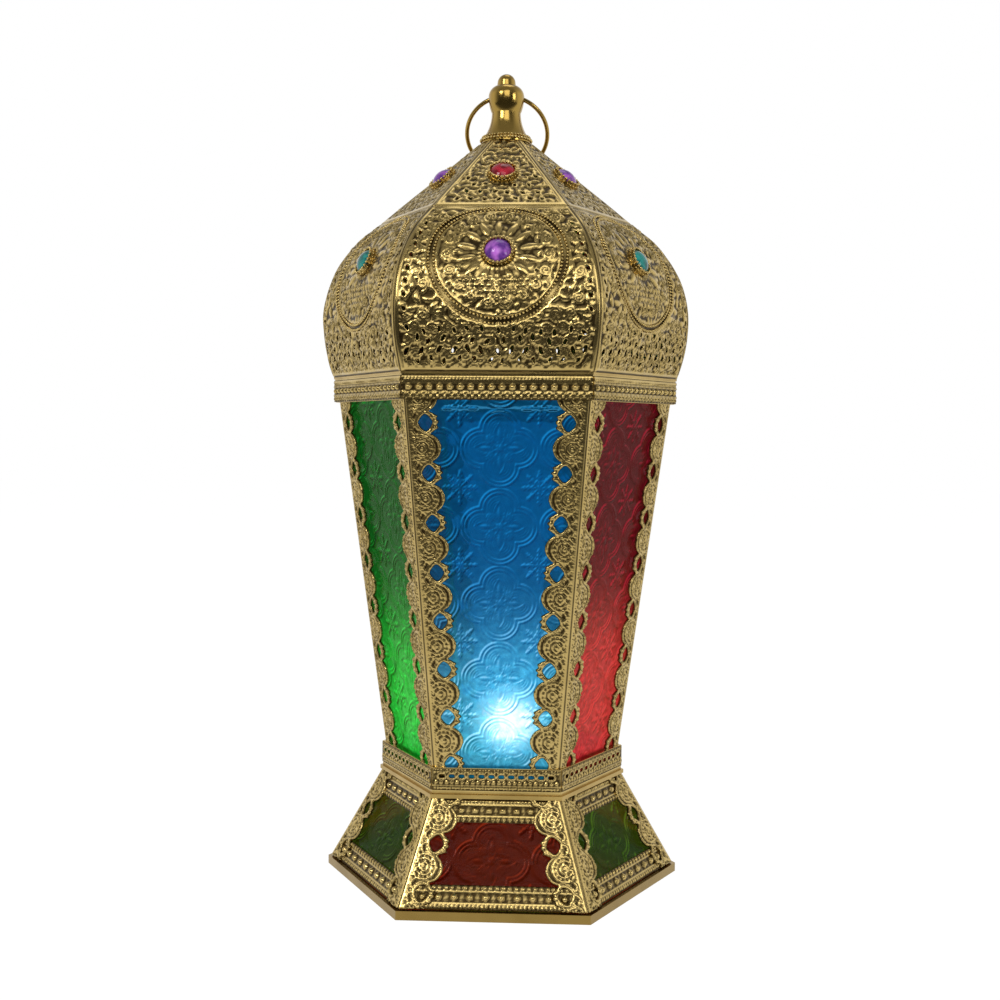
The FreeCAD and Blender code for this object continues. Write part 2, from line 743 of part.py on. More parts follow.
def petal_sector(margin):
    """A petal's sixth of the dome as an upright prism, a margin short of the rib on each side."""
    reach = 2 * size("dome_belly_radius")
    wide = reach / 2 - margin / COS30
    corners = [Vector(0, -2 * margin, 0), Vector(-wide, -reach * COS30, 0), Vector(wide, -reach * COS30, 0)]
    return Part.Face(Part.makePolygon(corners + corners[:1])).extrude(UP * DOME.top_z)


def relief_shell():
    """The layer over a petal's outer face that its pressed forms fill, rooted in the sheet."""
    low, high = DOME.foot + size("hem_margin"), DOME.crown_z - size("hem_margin")
    levels = [low, DOME.belly_z, DOME.shoulder_z, high]
    bends = [(levels[0] + levels[1]) / 2, (levels[1] + levels[2]) / 2]
    edges, faces = [], []
    for gauge in (-size("relief_height"), size("relief_root")):
        ends = [Vector(0, -DOME.out(z, gauge), z) for z in levels]
        mids = [Vector(0, -DOME.out(z, gauge), z) for z in bends]
        edges += [Part.Arc(ends[0], mids[0], ends[1]), Part.Arc(ends[1], mids[1], ends[2]),
                  Part.LineSegment(ends[2], ends[3])]
        faces.append(ends)
    edges += [Part.LineSegment(faces[0][index], faces[1][index]) for index in (0, -1)]
    side = Part.Face(Part.Wire(Part.__sortEdges__([edge.toShape() for edge in edges])))
    reach = size("dome_belly_radius")
    side.translate(Vector(-reach, 0, 0))
    return side.extrude(Vector(2 * reach, 0, 0))


def medallion():
    """Two rings and a wheel of leaves round the gem, as upright prisms on the gem's plane."""
    radius = size("medallion_radius")
    deep = UP * 2 * radius
    centre = Vector(0, -size("medallion_drop"), -radius)
    forms = []
    for offset in (-size("medallion_ring_gap") / 2, size("medallion_ring_gap") / 2):
        inner, outer = [Part.makeCylinder(radius + offset + edge * size("medallion_ring_width") / 2,
                                          2 * radius, centre) for edge in (-1, 1)]
        forms.append(outer.cut(inner))
    inner, outer = size("rosette_inner_radius"), size("rosette_outer_radius")
    half = size("rosette_leaf_width") / 2
    foot, tip = Vector(0, inner, -radius), Vector(0, outer, -radius)
    sides = [Vector(side * half, (inner + outer) / 2, -radius) for side in (-1, 1)]
    edges = [Part.Arc(foot, side, tip).toShape() for side in sides]
    leaf = Part.Face(Part.Wire(Part.__sortEdges__(edges))).extrude(deep)
    count = int(size("rosette_leaves"))
    for index in range(count):
        turned = leaf.copy()
        turned.rotate(Vector(), UP, 360 / count * index)
        forms.append(turned)
    return forms


def petal_relief():
    """What is pressed out of a dome petal: rib borders, hems, medallion rings and leaves."""
    place = DOME.place(0, DOME.foot + size("dome_gem_height"))
    forms = []
    for form in medallion():
        form.Placement = place * form.Placement
        forms.append(form)
    margin = size("rib_border_margin")
    forms.append(petal_sector(margin).cut(petal_sector(margin + size("rib_border_width"))))
    reach, tall = 2 * size("dome_belly_radius"), size("hem_height")
    for level in (DOME.foot + size("hem_margin"), DOME.crown_z - size("hem_margin") - tall):
        forms.append(Part.makeBox(2 * reach, reach, tall, Vector(-reach, -reach, level)))
    whole = forms[0].multiFuse(forms[1:])
    return relief_shell().common(whole).common(petal_sector(margin))


def make_petal(name, index, edges, rows, relief=None):
    """One petal: a sheet profile drawn out sideways, pierced by rows of leaves, trimmed at the ribs."""
    body = new_body(name + "_sheet")
    profile = new_sketch(body, name + "_profile", "YZ_Plane")
    for edge in edges:
        profile.addGeometry(edge)
    pad(body, profile, "2 * sizes.dome_belly_radius", symmetric=True)
    holes = new_sketch(body, name + "_leaves", "XZ_Plane")
    for z, shift in rows:
        leaf_row(holes, z, shift)
    pocket(body, holes, backwards=True)
    wedge_cut(body, name + "_ribs")
    body.Placement = Placement(Vector(), Rotation(UP, 60 * index))
    if relief is None:
        keep(body, name)
        return
    pressed = doc.addObject("Part::MultiFuse", name + "_pressed")
    pressed.Shapes = [body, solid_piece(name + "_relief", relief, body.Placement)]
    keep(pressed, name)


def make_dome():
    """Six curved petals and six flat crown petals above them."""
    gauge = size("dome_gauge")

    def outer(z):
        return Vector(-DOME.out(z), z, 0)

    def inner(z):
        return Vector(-DOME.out(z, gauge), z, 0)

    # The sloping sheet is cut square to itself, so its inner corner lies a little lower
    square = gauge * math.sin(math.atan(-DOME.slope))
    crown_in = inner(DOME.crown_z - square)
    top_in = inner(DOME.top_z - square)
    shoulder_in = inner(DOME.shoulder_z - square)
    levels = [DOME.foot, DOME.belly_z, DOME.shoulder_z, DOME.crown_z]
    low, belly, shoulder, crown = [outer(z) for z in levels]
    low_mid = (levels[0] + levels[1]) / 2
    high_mid = (levels[1] + levels[2]) / 2
    low_in, belly_in = inner(DOME.foot), inner(DOME.belly_z)
    petal = [Part.Arc(low, outer(low_mid), belly), Part.Arc(belly, outer(high_mid), shoulder),
             Part.LineSegment(shoulder, crown), Part.LineSegment(crown, crown_in),
             Part.LineSegment(crown_in, shoulder_in), Part.Arc(shoulder_in, inner(high_mid), belly_in),
             Part.Arc(belly_in, inner(low_mid), low_in), Part.LineSegment(low_in, low)]
    ring = [crown, outer(DOME.top_z), top_in, crown_in]
    cap = [Part.LineSegment(a, b) for a, b in zip(ring, ring[1:] + ring[:1])]
    first = DOME.foot + size("leaf_row_height")
    rows = [(first, 0.0), (first + size("leaf_row_pitch"), 0.5)]
    crown_row = [(DOME.crown_z + size("crown_leaf_height"), 0.5)]
    relief = petal_relief()
    for index, side in enumerate(SIDES):
        make_petal(f"dome_petal_{side}", index, petal, rows, relief)
        make_petal(f"crown_petal_{side}", index, cap, crown_row)


def make_gems():
    """Cabochons in milled bezels, one in the middle of every petal."""
    gem = new_body("gem")
    sketch = new_sketch(gem, "gem_profile", "XZ_Plane")
    dome_radius = "(sizes.gem_radius^2 + sizes.gem_crown^2) / (2 * sizes.gem_crown)"
    outline(sketch, [(ZERO, ZERO), ("sizes.gem_radius", ZERO), ("sizes.gem_radius", "sizes.gem_edge"),
                     (ZERO, "sizes.gem_edge + sizes.gem_crown")], {2: dome_radius})
    revolve(gem, sketch)

    bezel = new_body("bezel")
    inside = "(sizes.gem_radius + sizes.gem_clearance)"
    outside = f"({inside} + sizes.bezel_wall)"
    sketch = new_sketch(bezel, "bezel_profile", "XZ_Plane")
    outline(sketch, [(ZERO, ZERO), (outside, ZERO), (outside, "sizes.bezel_height"),
                     (inside, "sizes.bezel_height"), (inside, "sizes.bezel_floor"),
                     (ZERO, "sizes.bezel_floor")])
    revolve(bezel, sketch)
    notch = new_sketch(bezel, "bezel_notch", "YZ_Plane")
    rectangle(notch, "-sizes.bezel_notch_width / 2", "sizes.bezel_notch_width / 2",
              "sizes.bezel_height - sizes.bezel_notch_depth",
              "sizes.bezel_height + sizes.bezel_notch_depth")
    around(bezel, [pocket(bezel, notch, backwards=True)], int(size("bezel_teeth")))

    lower = [DOME.place(index, DOME.foot + size("dome_gem_height")) for index in range(6)]
    upper = [DOME.place(index, DOME.foot + size("crown_gem_height")) for index in range(6)]
    group("gem_bezels", bezel, lower + upper)
    floor = Placement(Vector(0, 0, size("bezel_floor")), Rotation())
    group("gems_purple", gem, [place * floor for place in lower[0::2] + upper[1::2]])
    group("gems_teal", gem, [place * floor for place in lower[1::2]])
    group("gems_red", gem, [place * floor for place in upper[0::2]])


def make_finial():
    """Turned finial with a hollow bulb, the stud through its skirt and the nut under the crown."""
    finial = new_body("finial")
    sketch = new_sketch(finial, "finial_profile", "XZ_Plane")
    outline(sketch, [
        (ZERO, ZERO),
        ("sizes.finial_skirt_radius", ZERO),
        ("sizes.finial_skirt_radius", "sizes.finial_skirt_edge"),
        ("sizes.finial_waist_radius", "sizes.finial_waist_height"),
        ("sizes.finial_bulb_radius", "sizes.finial_bulb_height"),
        ("sizes.finial_neck_radius", "sizes.finial_neck_height"),
        ("sizes.finial_knob_radius", "sizes.finial_knob_height"),
        (ZERO, "sizes.finial_height"),
    ], {
        2: "-sizes.finial_skirt_curve",
        3: "sizes.finial_bulb_curve",
        4: "sizes.finial_shoulder_curve",
        6: "(sizes.finial_knob_radius^2 + (sizes.finial_height - sizes.finial_knob_height)^2)"
           " / (2 * (sizes.finial_height - sizes.finial_knob_height))",
    })
    revolve(finial, sketch)
    cavity = new_sketch(finial, "finial_cavity", "XZ_Plane")
    wall = "sizes.finial_wall"
    outline(cavity, [
        (ZERO, f"sizes.finial_waist_height + {wall}"),
        (f"sizes.finial_waist_radius - {wall}", f"sizes.finial_waist_height + {wall}"),
        (f"sizes.finial_bulb_radius - {wall}", "sizes.finial_bulb_height"),
        (f"sizes.finial_neck_radius - {wall}", f"sizes.finial_neck_height - {wall}"),
        (ZERO, f"sizes.finial_neck_height - {wall}")])
    groove(finial, cavity)
    bore = new_sketch(finial, "finial_bore", "XZ_Plane")
    rectangle(bore, ZERO, "sizes.stud_radius", ZERO, "sizes.stud_rise")
    groove(finial, bore)
    ring_way = new_sketch(finial, "ring_way", "YZ_Plane")
    round_hole(ring_way, ZERO, "sizes.ring_pivot_height", "sizes.ring_hole_radius")
    pocket(finial, ring_way, symmetric=True)
    finial.Placement = Placement(Vector(0, 0, value(FINIAL_Z)), Rotation())
    keep(finial, "finial")

    stud = doc.addObject("Part::Cylinder", "finial_stud")
    stud.setExpression("Radius", "sizes.stud_radius")
    stud.setExpression("Height", "sizes.stud_rise + sizes.stud_drop")
    stud.setExpression("Placement.Base.z", f"{FINIAL_Z} - sizes.stud_drop")
    keep(stud, "finial_stud")

    # The washer bears on the sloping inner faces of the crown, and the nut draws it up
    washer_z = f"({FINIAL_Z} - sizes.washer_drop)"
    bearing = DOME.out(value(washer_z), size("dome_gauge")) - size("seam_clearance")
    gauge = size("washer_gauge")
    washer = Part.makeCylinder(bearing, gauge)
    washer = washer.cut(Part.makeCylinder(size("stud_radius"), gauge))
    under = Placement(Vector(0, 0, value(washer_z) - gauge), Rotation())
    keep(solid_piece("finial_washer", washer, under), "finial_washer")
    nut = new_body("finial_nut")
    nut_z = f"{washer_z} - sizes.washer_gauge - sizes.nut_height"
    sketch = new_sketch(nut, "nut_outline", "XY_Plane", nut_z)
    hexagon(sketch, "sizes.nut_radius")
    round_hole(sketch, ZERO, ZERO, "sizes.stud_radius")
    pad(nut, sketch, "sizes.nut_height")
    keep(nut, "finial_nut")


def ring_rest_angle(reach):
    """Angle from hanging at which the ring's far end lies a clearance off the back of the crown."""
    need = size("ring_wire_radius") + size("ring_rest_clearance")
    lean = math.atan(-DOME.slope)
    pivot_z = value(RING_Z)
    away = (DOME.shoulder + DOME.slope * (pivot_z - DOME.shoulder_z)) * math.cos(lean)
    return math.asin((need + away) / reach) + lean


def make_ring():
    """The wire ring through the bulb, swung back so that it lies on the crown."""
    bulb = value("sizes.finial_bulb_radius - sizes.finial_wall / 2")
    drop = math.sqrt(size("ring_radius") ** 2 - bulb ** 2)
    angle = ring_rest_angle(drop + size("ring_radius"))
    ring = doc.addObject("Part::Torus", "carry_ring")
    ring.setExpression("Radius1", "sizes.ring_radius")
    ring.setExpression("Radius2", "sizes.ring_wire_radius")
    hanging = Placement(Vector(0, 0, -drop), Rotation(Vector(1, 0, 0), 90))
    swung = Placement(Vector(0, 0, value(RING_Z)), Rotation(Vector(1, 0, 0), math.degrees(angle)))
    ring.Placement = swung * hanging
    keep(ring, "carry_ring")


def make_door():
    """Door frame, its pane and its two lace strips, on the back of the body."""
    low = f"({FOOT_Z} + sizes.door_end_gap)"
    high = f"({HEAD_Z} - sizes.door_end_gap)"
    frame = side_plate("door_frame", BODY, DOOR_SIDE, low, high, "sizes.door_edge_gap", ZERO,
                       "sizes.sheet_gauge")
    window = new_sketch(frame, "door_window", "XY_Plane")
    margin = "(sizes.door_edge_gap + sizes.door_stile)"
    rail = f"sizes.door_rail / {BODY.stretch}"
    foot_half = f"({BODY.radius(f'({low} + {rail})')} / 2 - {margin})"
    head_half = f"({BODY.radius(f'({high} - {rail})')} / 2 - {margin})"
    top = f"({high} - {low}) * {BODY.stretch} - sizes.door_rail"
    outline(window, [(f"-{foot_half}", "sizes.door_rail"), (foot_half, "sizes.door_rail"),
                     (head_half, top), (f"-{head_half}", top)])
    pocket(frame, window, backwards=True)
    keep(frame, "door_frame")

    inset = f"sizes.door_pane_inset / {BODY.stretch}"
    pane_margin = "(sizes.post_width + sizes.sheet_gauge + sizes.swing_clearance)"
    keep(side_plate("door_pane", BODY, DOOR_SIDE, f"({low} + {inset})", f"({high} - {inset})", pane_margin,
                    "sizes.sheet_gauge", "sizes.glass_gauge"), "door_pane")

    gauge = size("sheet_gauge")
    length = BODY.edge_length(low, high)
    face = lace_wing(length, BODY.edge_slant, size("lace_phase") + size("lace_pitch") / 2)
    edge = plain_wing(length, size("door_edge_gap"), BODY.edge_slant)
    wing = wing_solid(face.cut(edge), BODY, -gauge, gauge)
    mirrored = wing.mirror(Vector(), Vector(0, 1, 0))
    left = solid_piece("door_strip_left", mirrored, BODY.corner(DOOR_SIDE - 1, low))
    right = solid_piece("door_strip_right", wing, BODY.corner(DOOR_SIDE, low))
    strips = doc.addObject("Part::Compound", "door_strips")
    strips.Links = [left, right]
    keep(strips, "door_strips")


def strap(name, side):
    """A knuckle with its strap: X along the strap, the strap on the +Y or -Y side of the barrel."""
    radius = "sizes.knuckle_radius"
    barrel = doc.addObject("Part::Cylinder", name + "_barrel")
    barrel.setExpression("Radius", radius)
    barrel.setExpression("Height", "sizes.knuckle_width")
    leaf = doc.addObject("Part::Box", name + "_leaf")
    leaf.setExpression("Length", "sizes.strap_length")
    leaf.setExpression("Width", "sizes.sheet_gauge")
    leaf.setExpression("Height", "sizes.knuckle_width")
    leaf.setExpression("Placement.Base.y", f"{radius} - sizes.sheet_gauge" if side > 0 else f"-{radius}")
    joined = doc.addObject("Part::Fuse", name + "_joined")
    joined.Base = barrel
    joined.Tool = leaf
    bore = doc.addObject("Part::Cylinder", name + "_bore")
    bore.setExpression("Radius", "sizes.pin_radius + sizes.pin_fit")
    bore.setExpression("Height", "sizes.knuckle_width")
    knuckle = doc.addObject("Part::Cut", name)
    knuckle.Base = joined
    knuckle.Tool = bore
    return knuckle


def hinge_frames():
    """Frames of the two hinges: Z up along the pin, X across the door, Y inwards, mid-length."""
    radius = size("knuckle_radius")
    out = size("sheet_gauge") + radius
    across = (out * math.cos(BODY.turn) - radius) / math.sin(BODY.turn)
    corner = BODY.side(DOOR_SIDE, FOOT_Z)
    slant = BODY.edge_slant
    along = Vector(-math.sin(slant), math.cos(slant), 0)
    over = Vector(math.cos(slant), math.sin(slant), 0)
    start = Vector(-value(BODY.radius(FOOT_Z)) / 2, 0, out) + over * across
    length = BODY.edge_length(FOOT_Z, HEAD_Z)
    turned = Rotation(over, Vector(0, 0, -1), along, "ZXY")
    end = size("hinge_end_distance")
    return [corner * Placement(start + along * distance, turned) for distance in (end, length - end)]


def make_hinges():
    """Two hinges: a door knuckle between two frame knuckles, on a headed pin."""
    width = size("knuckle_width")
    step = width + size("knuckle_play")
    frames = hinge_frames()
    centred = Placement(Vector(0, 0, -width / 2), Rotation())
    group("hinge_door_knuckles", strap("door_strap", 1), [frame * centred for frame in frames])
    fold = Rotation(UP, 180 - math.degrees(BODY.turn))
    offsets = [Placement(Vector(0, 0, shift - width / 2), fold) for shift in (-step, step)]
    group("hinge_frame_knuckles", strap("frame_strap", -1),
          [frame * offset for frame in frames for offset in offsets])

    pin = new_body("hinge_pin")
    sketch = new_sketch(pin, "pin_profile", "XZ_Plane")
    end = "(1.5 * sizes.knuckle_width + sizes.knuckle_play)"
    cap = f"({end} + sizes.pin_head_height)"
    head = "sizes.pin_head_radius"
    outline(sketch, [(ZERO, f"-{cap}"), (head, f"-{cap}"), (head, f"-{end}"),
                     ("sizes.pin_radius", f"-{end}"), ("sizes.pin_radius", end),
                     (head, end), (head, cap), (ZERO, cap)])
    revolve(pin, sketch)
    group("hinge_pins", pin, frames)


def make_button():
    """Turn button that swings over the top of the door, on a shouldered rivet through the upper band."""
    flat = size("upper_band_radius") * COS30
    outward = Rotation(Vector(1, 0, 0), -90)
    seat = Placement(Vector(0, flat, value(f"{HEAD_Z} + sizes.button_rise")), outward)

    tail = "(sizes.band_gauge + sizes.rivet_head_height)"
    gap = "sizes.button_fit"
    under_head = f"(sizes.rivet_shoulder_height + sizes.button_gauge + 2 * {gap})"
    rivet = new_body("button_rivet")
    sketch = new_sketch(rivet, "rivet_profile", "XZ_Plane")
    outline(sketch, [
        (ZERO, f"-{tail}"), ("sizes.rivet_head_radius", f"-{tail}"),
        ("sizes.rivet_head_radius", "-sizes.band_gauge"), ("sizes.rivet_radius", "-sizes.band_gauge"),
        ("sizes.rivet_radius", ZERO), ("sizes.rivet_shoulder_radius", ZERO),
        ("sizes.rivet_shoulder_radius", "sizes.rivet_shoulder_height"),
        ("sizes.rivet_radius", "sizes.rivet_shoulder_height"), ("sizes.rivet_radius", under_head),
        ("sizes.rivet_head_radius", under_head),
        ("sizes.rivet_head_radius", f"{under_head} + sizes.rivet_head_height"),
        (ZERO, f"{under_head} + sizes.rivet_head_height")])
    revolve(rivet, sketch)
    rivet.Placement = seat
    keep(rivet, "button_rivet")

    button = new_body("turn_button")
    sketch = new_sketch(button, "button_outline", "XY_Plane", f"sizes.rivet_shoulder_height + {gap}")
    half = "sizes.button_width / 2"
    reach = "(sizes.button_length - sizes.button_width) / 2"
    outline(sketch, [(f"-{reach}", f"-{half}"), (reach, f"-{half}"), (reach, half), (f"-{reach}", half)],
            {1: f"{half} + sizes.button_end_ease", 3: f"{half} + sizes.button_end_ease"})
    round_hole(sketch, ZERO, ZERO, f"sizes.rivet_radius + {gap}")
    pad(button, sketch, "sizes.button_gauge")
    button.Placement = seat
    keep(button, "turn_button")


def make_light():
    """Cup on the floor, and the battery tealight that stands in it with its flame lens and switch."""
    inside = "(sizes.tealight_radius + sizes.cup_fit)"
    cup = new_body("candle_cup")
    sketch = new_sketch(cup, "cup_profile", "XZ_Plane")
    outline(sketch, [(ZERO, ZERO), (f"{inside} + sizes.cup_wall", ZERO),
                     (f"{inside} + sizes.cup_wall", "sizes.cup_height"), (inside, "sizes.cup_height"),
                     (inside, "sizes.cup_wall"), (ZERO, "sizes.cup_wall")])
    revolve(cup, sketch)
    cup.Placement = Placement(Vector(0, 0, value(FLOOR_Z)), Rotation())
    keep(cup, "candle_cup")

    stand = Placement(Vector(0, 0, value(f"{FLOOR_Z} + sizes.cup_wall")), Rotation())
    dish = "(sizes.tealight_height - sizes.tealight_dish_depth)"
    case = new_body("tealight_case")
    sketch = new_sketch(case, "case_profile", "XZ_Plane")
    foot_inner = "(sizes.tealight_radius - sizes.tealight_wall)"
    outline(sketch, [
        (ZERO, "sizes.tealight_base_recess"), (foot_inner, "sizes.tealight_base_recess"),
        (foot_inner, ZERO), ("sizes.tealight_radius", ZERO),
        ("sizes.tealight_radius", "sizes.tealight_height"),
        ("sizes.tealight_dish_radius", "sizes.tealight_height"), ("sizes.tealight_dish_floor_radius", dish),
        ("sizes.flame_radius", dish), ("sizes.flame_radius", f"{dish} - sizes.flame_seat"),
        (ZERO, f"{dish} - sizes.flame_seat")])
    revolve(case, sketch)
    slot = new_sketch(case, "switch_slot", "XY_Plane")
    half_slot = "((sizes.switch_length + sizes.switch_travel) / 2 + sizes.switch_fit)"
    slot_side = "(sizes.switch_width / 2 + sizes.switch_fit)"
    rectangle(slot, f"sizes.switch_offset - {half_slot}", f"sizes.switch_offset + {half_slot}",
              f"-{slot_side}", slot_side)
    slot_cut = pocket(case, slot, backwards=True)
    slot_cut.Type = "Length"
    slot_cut.setExpression("Length", "sizes.tealight_base_recess + sizes.switch_depth")
    case.Placement = stand
    keep(case, "tealight_case")

    flame = new_body("tealight_flame")
    sketch = new_sketch(flame, "flame_profile", "XZ_Plane")
    belly = f"({dish} + sizes.flame_belly_height)"
    tip = f"({dish} + sizes.flame_height)"
    seat = f"({dish} - sizes.flame_seat)"
    outline(sketch, [(ZERO, seat), ("sizes.flame_radius", seat), ("sizes.flame_radius", belly),
                     ("sizes.flame_tip_radius", tip), (ZERO, tip)], {2: "sizes.flame_curve"})
    revolve(flame, sketch)
    flame.Placement = stand
    keep(flame, "tealight_flame")

    switch = new_body("tealight_switch")
    sketch = new_sketch(switch, "switch_outline", "XY_Plane",
                        "sizes.tealight_base_recess - sizes.switch_drop")
    middle = "(sizes.switch_offset - sizes.switch_travel / 2)"
    rectangle(sketch, f"{middle} - sizes.switch_length / 2", f"{middle} + sizes.switch_length / 2",
              "-sizes.switch_width / 2", "sizes.switch_width / 2")
    pad(switch, sketch, "sizes.switch_drop + sizes.switch_depth - sizes.switch_fit")
    switch.Placement = stand
    keep(switch, "tealight_switch")


def write_pieces():
    """Check the whole document, then write every sub-part."""
    doc.recompute()
    failed = [item.Label for item in doc.Objects if {"Invalid", "Error"} & set(item.State)]
    if failed:
        raise RuntimeError(f"failed objects: {failed}")
    for piece in PIECES:
        if piece.Shape.isNull() or not piece.Shape.isValid() or not piece.Shape.Solids:
            raise RuntimeError(f"{piece.Label} has no valid solid")
    os.makedirs("parts", exist_ok=True)
    for piece in PIECES:
        piece.Shape.exportStep(f"parts/{piece.Label}.step")
    print(f"{len(PIECES)} nodes, {sum(len(piece.Shape.Solids) for piece in PIECES)} solids")


make_base()
make_bands()
make_body()
make_dome()
make_gems()
make_finial()
make_ring()
make_door()
make_hinges()
make_button()
make_light()
write_pieces()
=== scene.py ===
import functools
import json
import math

import bpy
import numpy as np
from mathutils import Matrix


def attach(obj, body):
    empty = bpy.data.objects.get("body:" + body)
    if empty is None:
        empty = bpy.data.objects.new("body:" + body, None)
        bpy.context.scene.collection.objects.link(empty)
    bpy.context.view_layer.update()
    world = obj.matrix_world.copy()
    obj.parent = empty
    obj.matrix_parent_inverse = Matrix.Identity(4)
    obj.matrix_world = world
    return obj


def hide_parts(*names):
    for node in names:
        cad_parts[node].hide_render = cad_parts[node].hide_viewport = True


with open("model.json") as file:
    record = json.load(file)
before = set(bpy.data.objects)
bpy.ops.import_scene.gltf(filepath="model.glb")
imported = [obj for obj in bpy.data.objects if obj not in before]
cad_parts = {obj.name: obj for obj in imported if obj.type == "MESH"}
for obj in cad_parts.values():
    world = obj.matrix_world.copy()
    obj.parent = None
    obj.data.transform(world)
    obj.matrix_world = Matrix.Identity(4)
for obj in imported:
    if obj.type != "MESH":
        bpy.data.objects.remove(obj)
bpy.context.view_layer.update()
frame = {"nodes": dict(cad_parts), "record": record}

# Lengths below are in millimetres and become metres when a mesh is made
MM = 0.001
COS30 = math.cos(math.radians(30))
TAN30 = math.tan(math.radians(30))
UP = np.array([0.0, 0.0, 1.0])
SIDES = ("front", "front_right", "back_right", "back", "back_left", "front_left")
DOOR = SIDES.index("back")

# Levels and gauges of the lantern, and the centre of the light, around which the panes' glow is painted
RIM_TOP, BASE_FOOT, NECK = 3.6, 4.2, 42.6
FLOOR, FOOT, HEAD, SEAT, DOME_FOOT = 45.2, 54.8, 201.4, 211.3, 212.1
SHEET, GLASS = 0.6, 2.0
LAMP = np.array([5.0, 0.0, 79.0])

# Share of a bake map's width that a sheet's front takes, and where its back begins
MAP_FRONT, MAP_BACK = 0.9, 0.92

# Depth at which a hollow gets full painted shade, and how much painted shade the back of pressed metal gets,
# from 0 to 1
LACE_HOLLOW, PETAL_HOLLOW, BACK_SHADE = 0.14, 0.2, 0.35


class Wire:
    """A node's output. Arithmetic on it adds Math nodes."""

    def __init__(self, nodes, socket):
        self.nodes = nodes
        self.socket = socket

    def beside(self, name):
        """Another output of the same node."""
        return Wire(self.nodes, self.socket.node.outputs[name])

    def math(self, operation, *values):
        return self.nodes.node("ShaderNodeMath", {"operation": operation}, dict(enumerate(values)))

    def __add__(self, other):
        return self.math("ADD", self, other)

    def __sub__(self, other):
        return self.math("SUBTRACT", self, other)

    def __rsub__(self, other):
        return self.math("SUBTRACT", other, self)

    def __mul__(self, other):
        return self.math("MULTIPLY", self, other)

    def __truediv__(self, other):
        return self.math("DIVIDE", self, other)

    def __rtruediv__(self, other):
        return self.math("DIVIDE", other, self)

    def __pow__(self, other):
        return self.math("POWER", self, other)

    __radd__ = __add__
    __rmul__ = __mul__

    def most(self, other):
        return self.math("MAXIMUM", self, other)

    def between(self, low, high):
        """0 below low, 1 above high, smooth between."""
        return self.nodes.node("ShaderNodeMapRange", {"interpolation_type": "SMOOTHSTEP"},
                               {"Value": self, "From Min": low, "From Max": high})


class Nodes:
    """A tree of nodes, built from its first node to its last."""

    def __init__(self, tree):
        self.tree = tree
        tree.nodes.clear()

    def node(self, kind, settings=None, sockets=None, output=0):
        node = self.tree.nodes.new(kind)
        for key, setting in (settings or {}).items():
            setattr(node, key, setting)
        for key, given in (sockets or {}).items():
            if isinstance(given, Wire):
                self.tree.links.new(given.socket, node.inputs[key])
            else:
                node.inputs[key].default_value = given
        return Wire(self, node.outputs[output])

    def end(self, kind, socket, wire):
        """The last node, which takes the result."""
        last = self.tree.nodes.new(kind)
        self.tree.links.new(wire.socket, last.inputs[socket])


class Finish(Nodes):
    """The nodes of a material or of the world."""

    def __init__(self, name, owner=None):
        self.owner = owner or bpy.data.materials.new(name)
        self.owner.use_nodes = True
        super().__init__(self.owner.node_tree)

    def place(self):
        return self.node("ShaderNodeTexCoord", output="Object")

    def noise(self, where, scale, detail=3.0):
        return self.node("ShaderNodeTexNoise", None, {"Vector": where, "Scale": scale, "Detail": detail})

    def attribute(self, name):
        return self.node("ShaderNodeAttribute", {"attribute_name": name}, output="Fac")

    def tint(self, share, first, second):
        """From the first colour to the second as the share goes from 0 to 1."""
        return self.node("ShaderNodeMix", {"data_type": "RGBA"}, {0: share, 6: first, 7: second}, 2)

    def bump(self, height, strength, distance):
        return self.node("ShaderNodeBump", None,
                         {"Height": height, "Strength": strength, "Distance": distance})

    def surface(self, **sockets):
        return self.node("ShaderNodeBsdfPrincipled", None,
                         {key.replace("_", " "): given for key, given in sockets.items()})

    def rays(self, *kinds):
        """1 for each kind of ray that looks, otherwise 0."""
        path = self.node("ShaderNodeLightPath")
        return [path.beside(f"Is {kind} Ray") for kind in kinds]

    def show(self, shader):
        world = isinstance(self.owner, bpy.types.World)
        self.end("ShaderNodeOutputWorld" if world else "ShaderNodeOutputMaterial", "Surface", shader)
        return self.owner


def brass(name, bright, dull, dark, rough, grain=0.25):
    """Brassed sheet: duller in patches, painted shade where the pressing is deep and on its back, finely
    grained.
    """
    finish = Finish(name)
    where = finish.place()
    patches = finish.noise(where, 70.0).between(0.35, 0.75)
    grains = finish.noise(where, 2600.0, 2.0)
    # This attribute is painted shade: darkness painted into the hollows of the pressing and over the sheet's
    # back
    hollow_shade = finish.attribute("hollow_shade")
    worn = finish.tint(patches * 0.7, bright, dull)
    colour = finish.tint(hollow_shade * 0.95, worn, dark)
    roughness = rough + hollow_shade * 0.22 + patches * 0.08 + grains * 0.08
    normal = finish.bump(grains, grain, 0.0001)
    return finish.show(finish.surface(Base_Color=colour, Metallic=1.0, Roughness=roughness, Normal=normal))


# Distances from the light at which the panes' painted bright spot begins and ends to fade, in metres
SPOT_FULL, SPOT_END = 0.0441, 0.0463


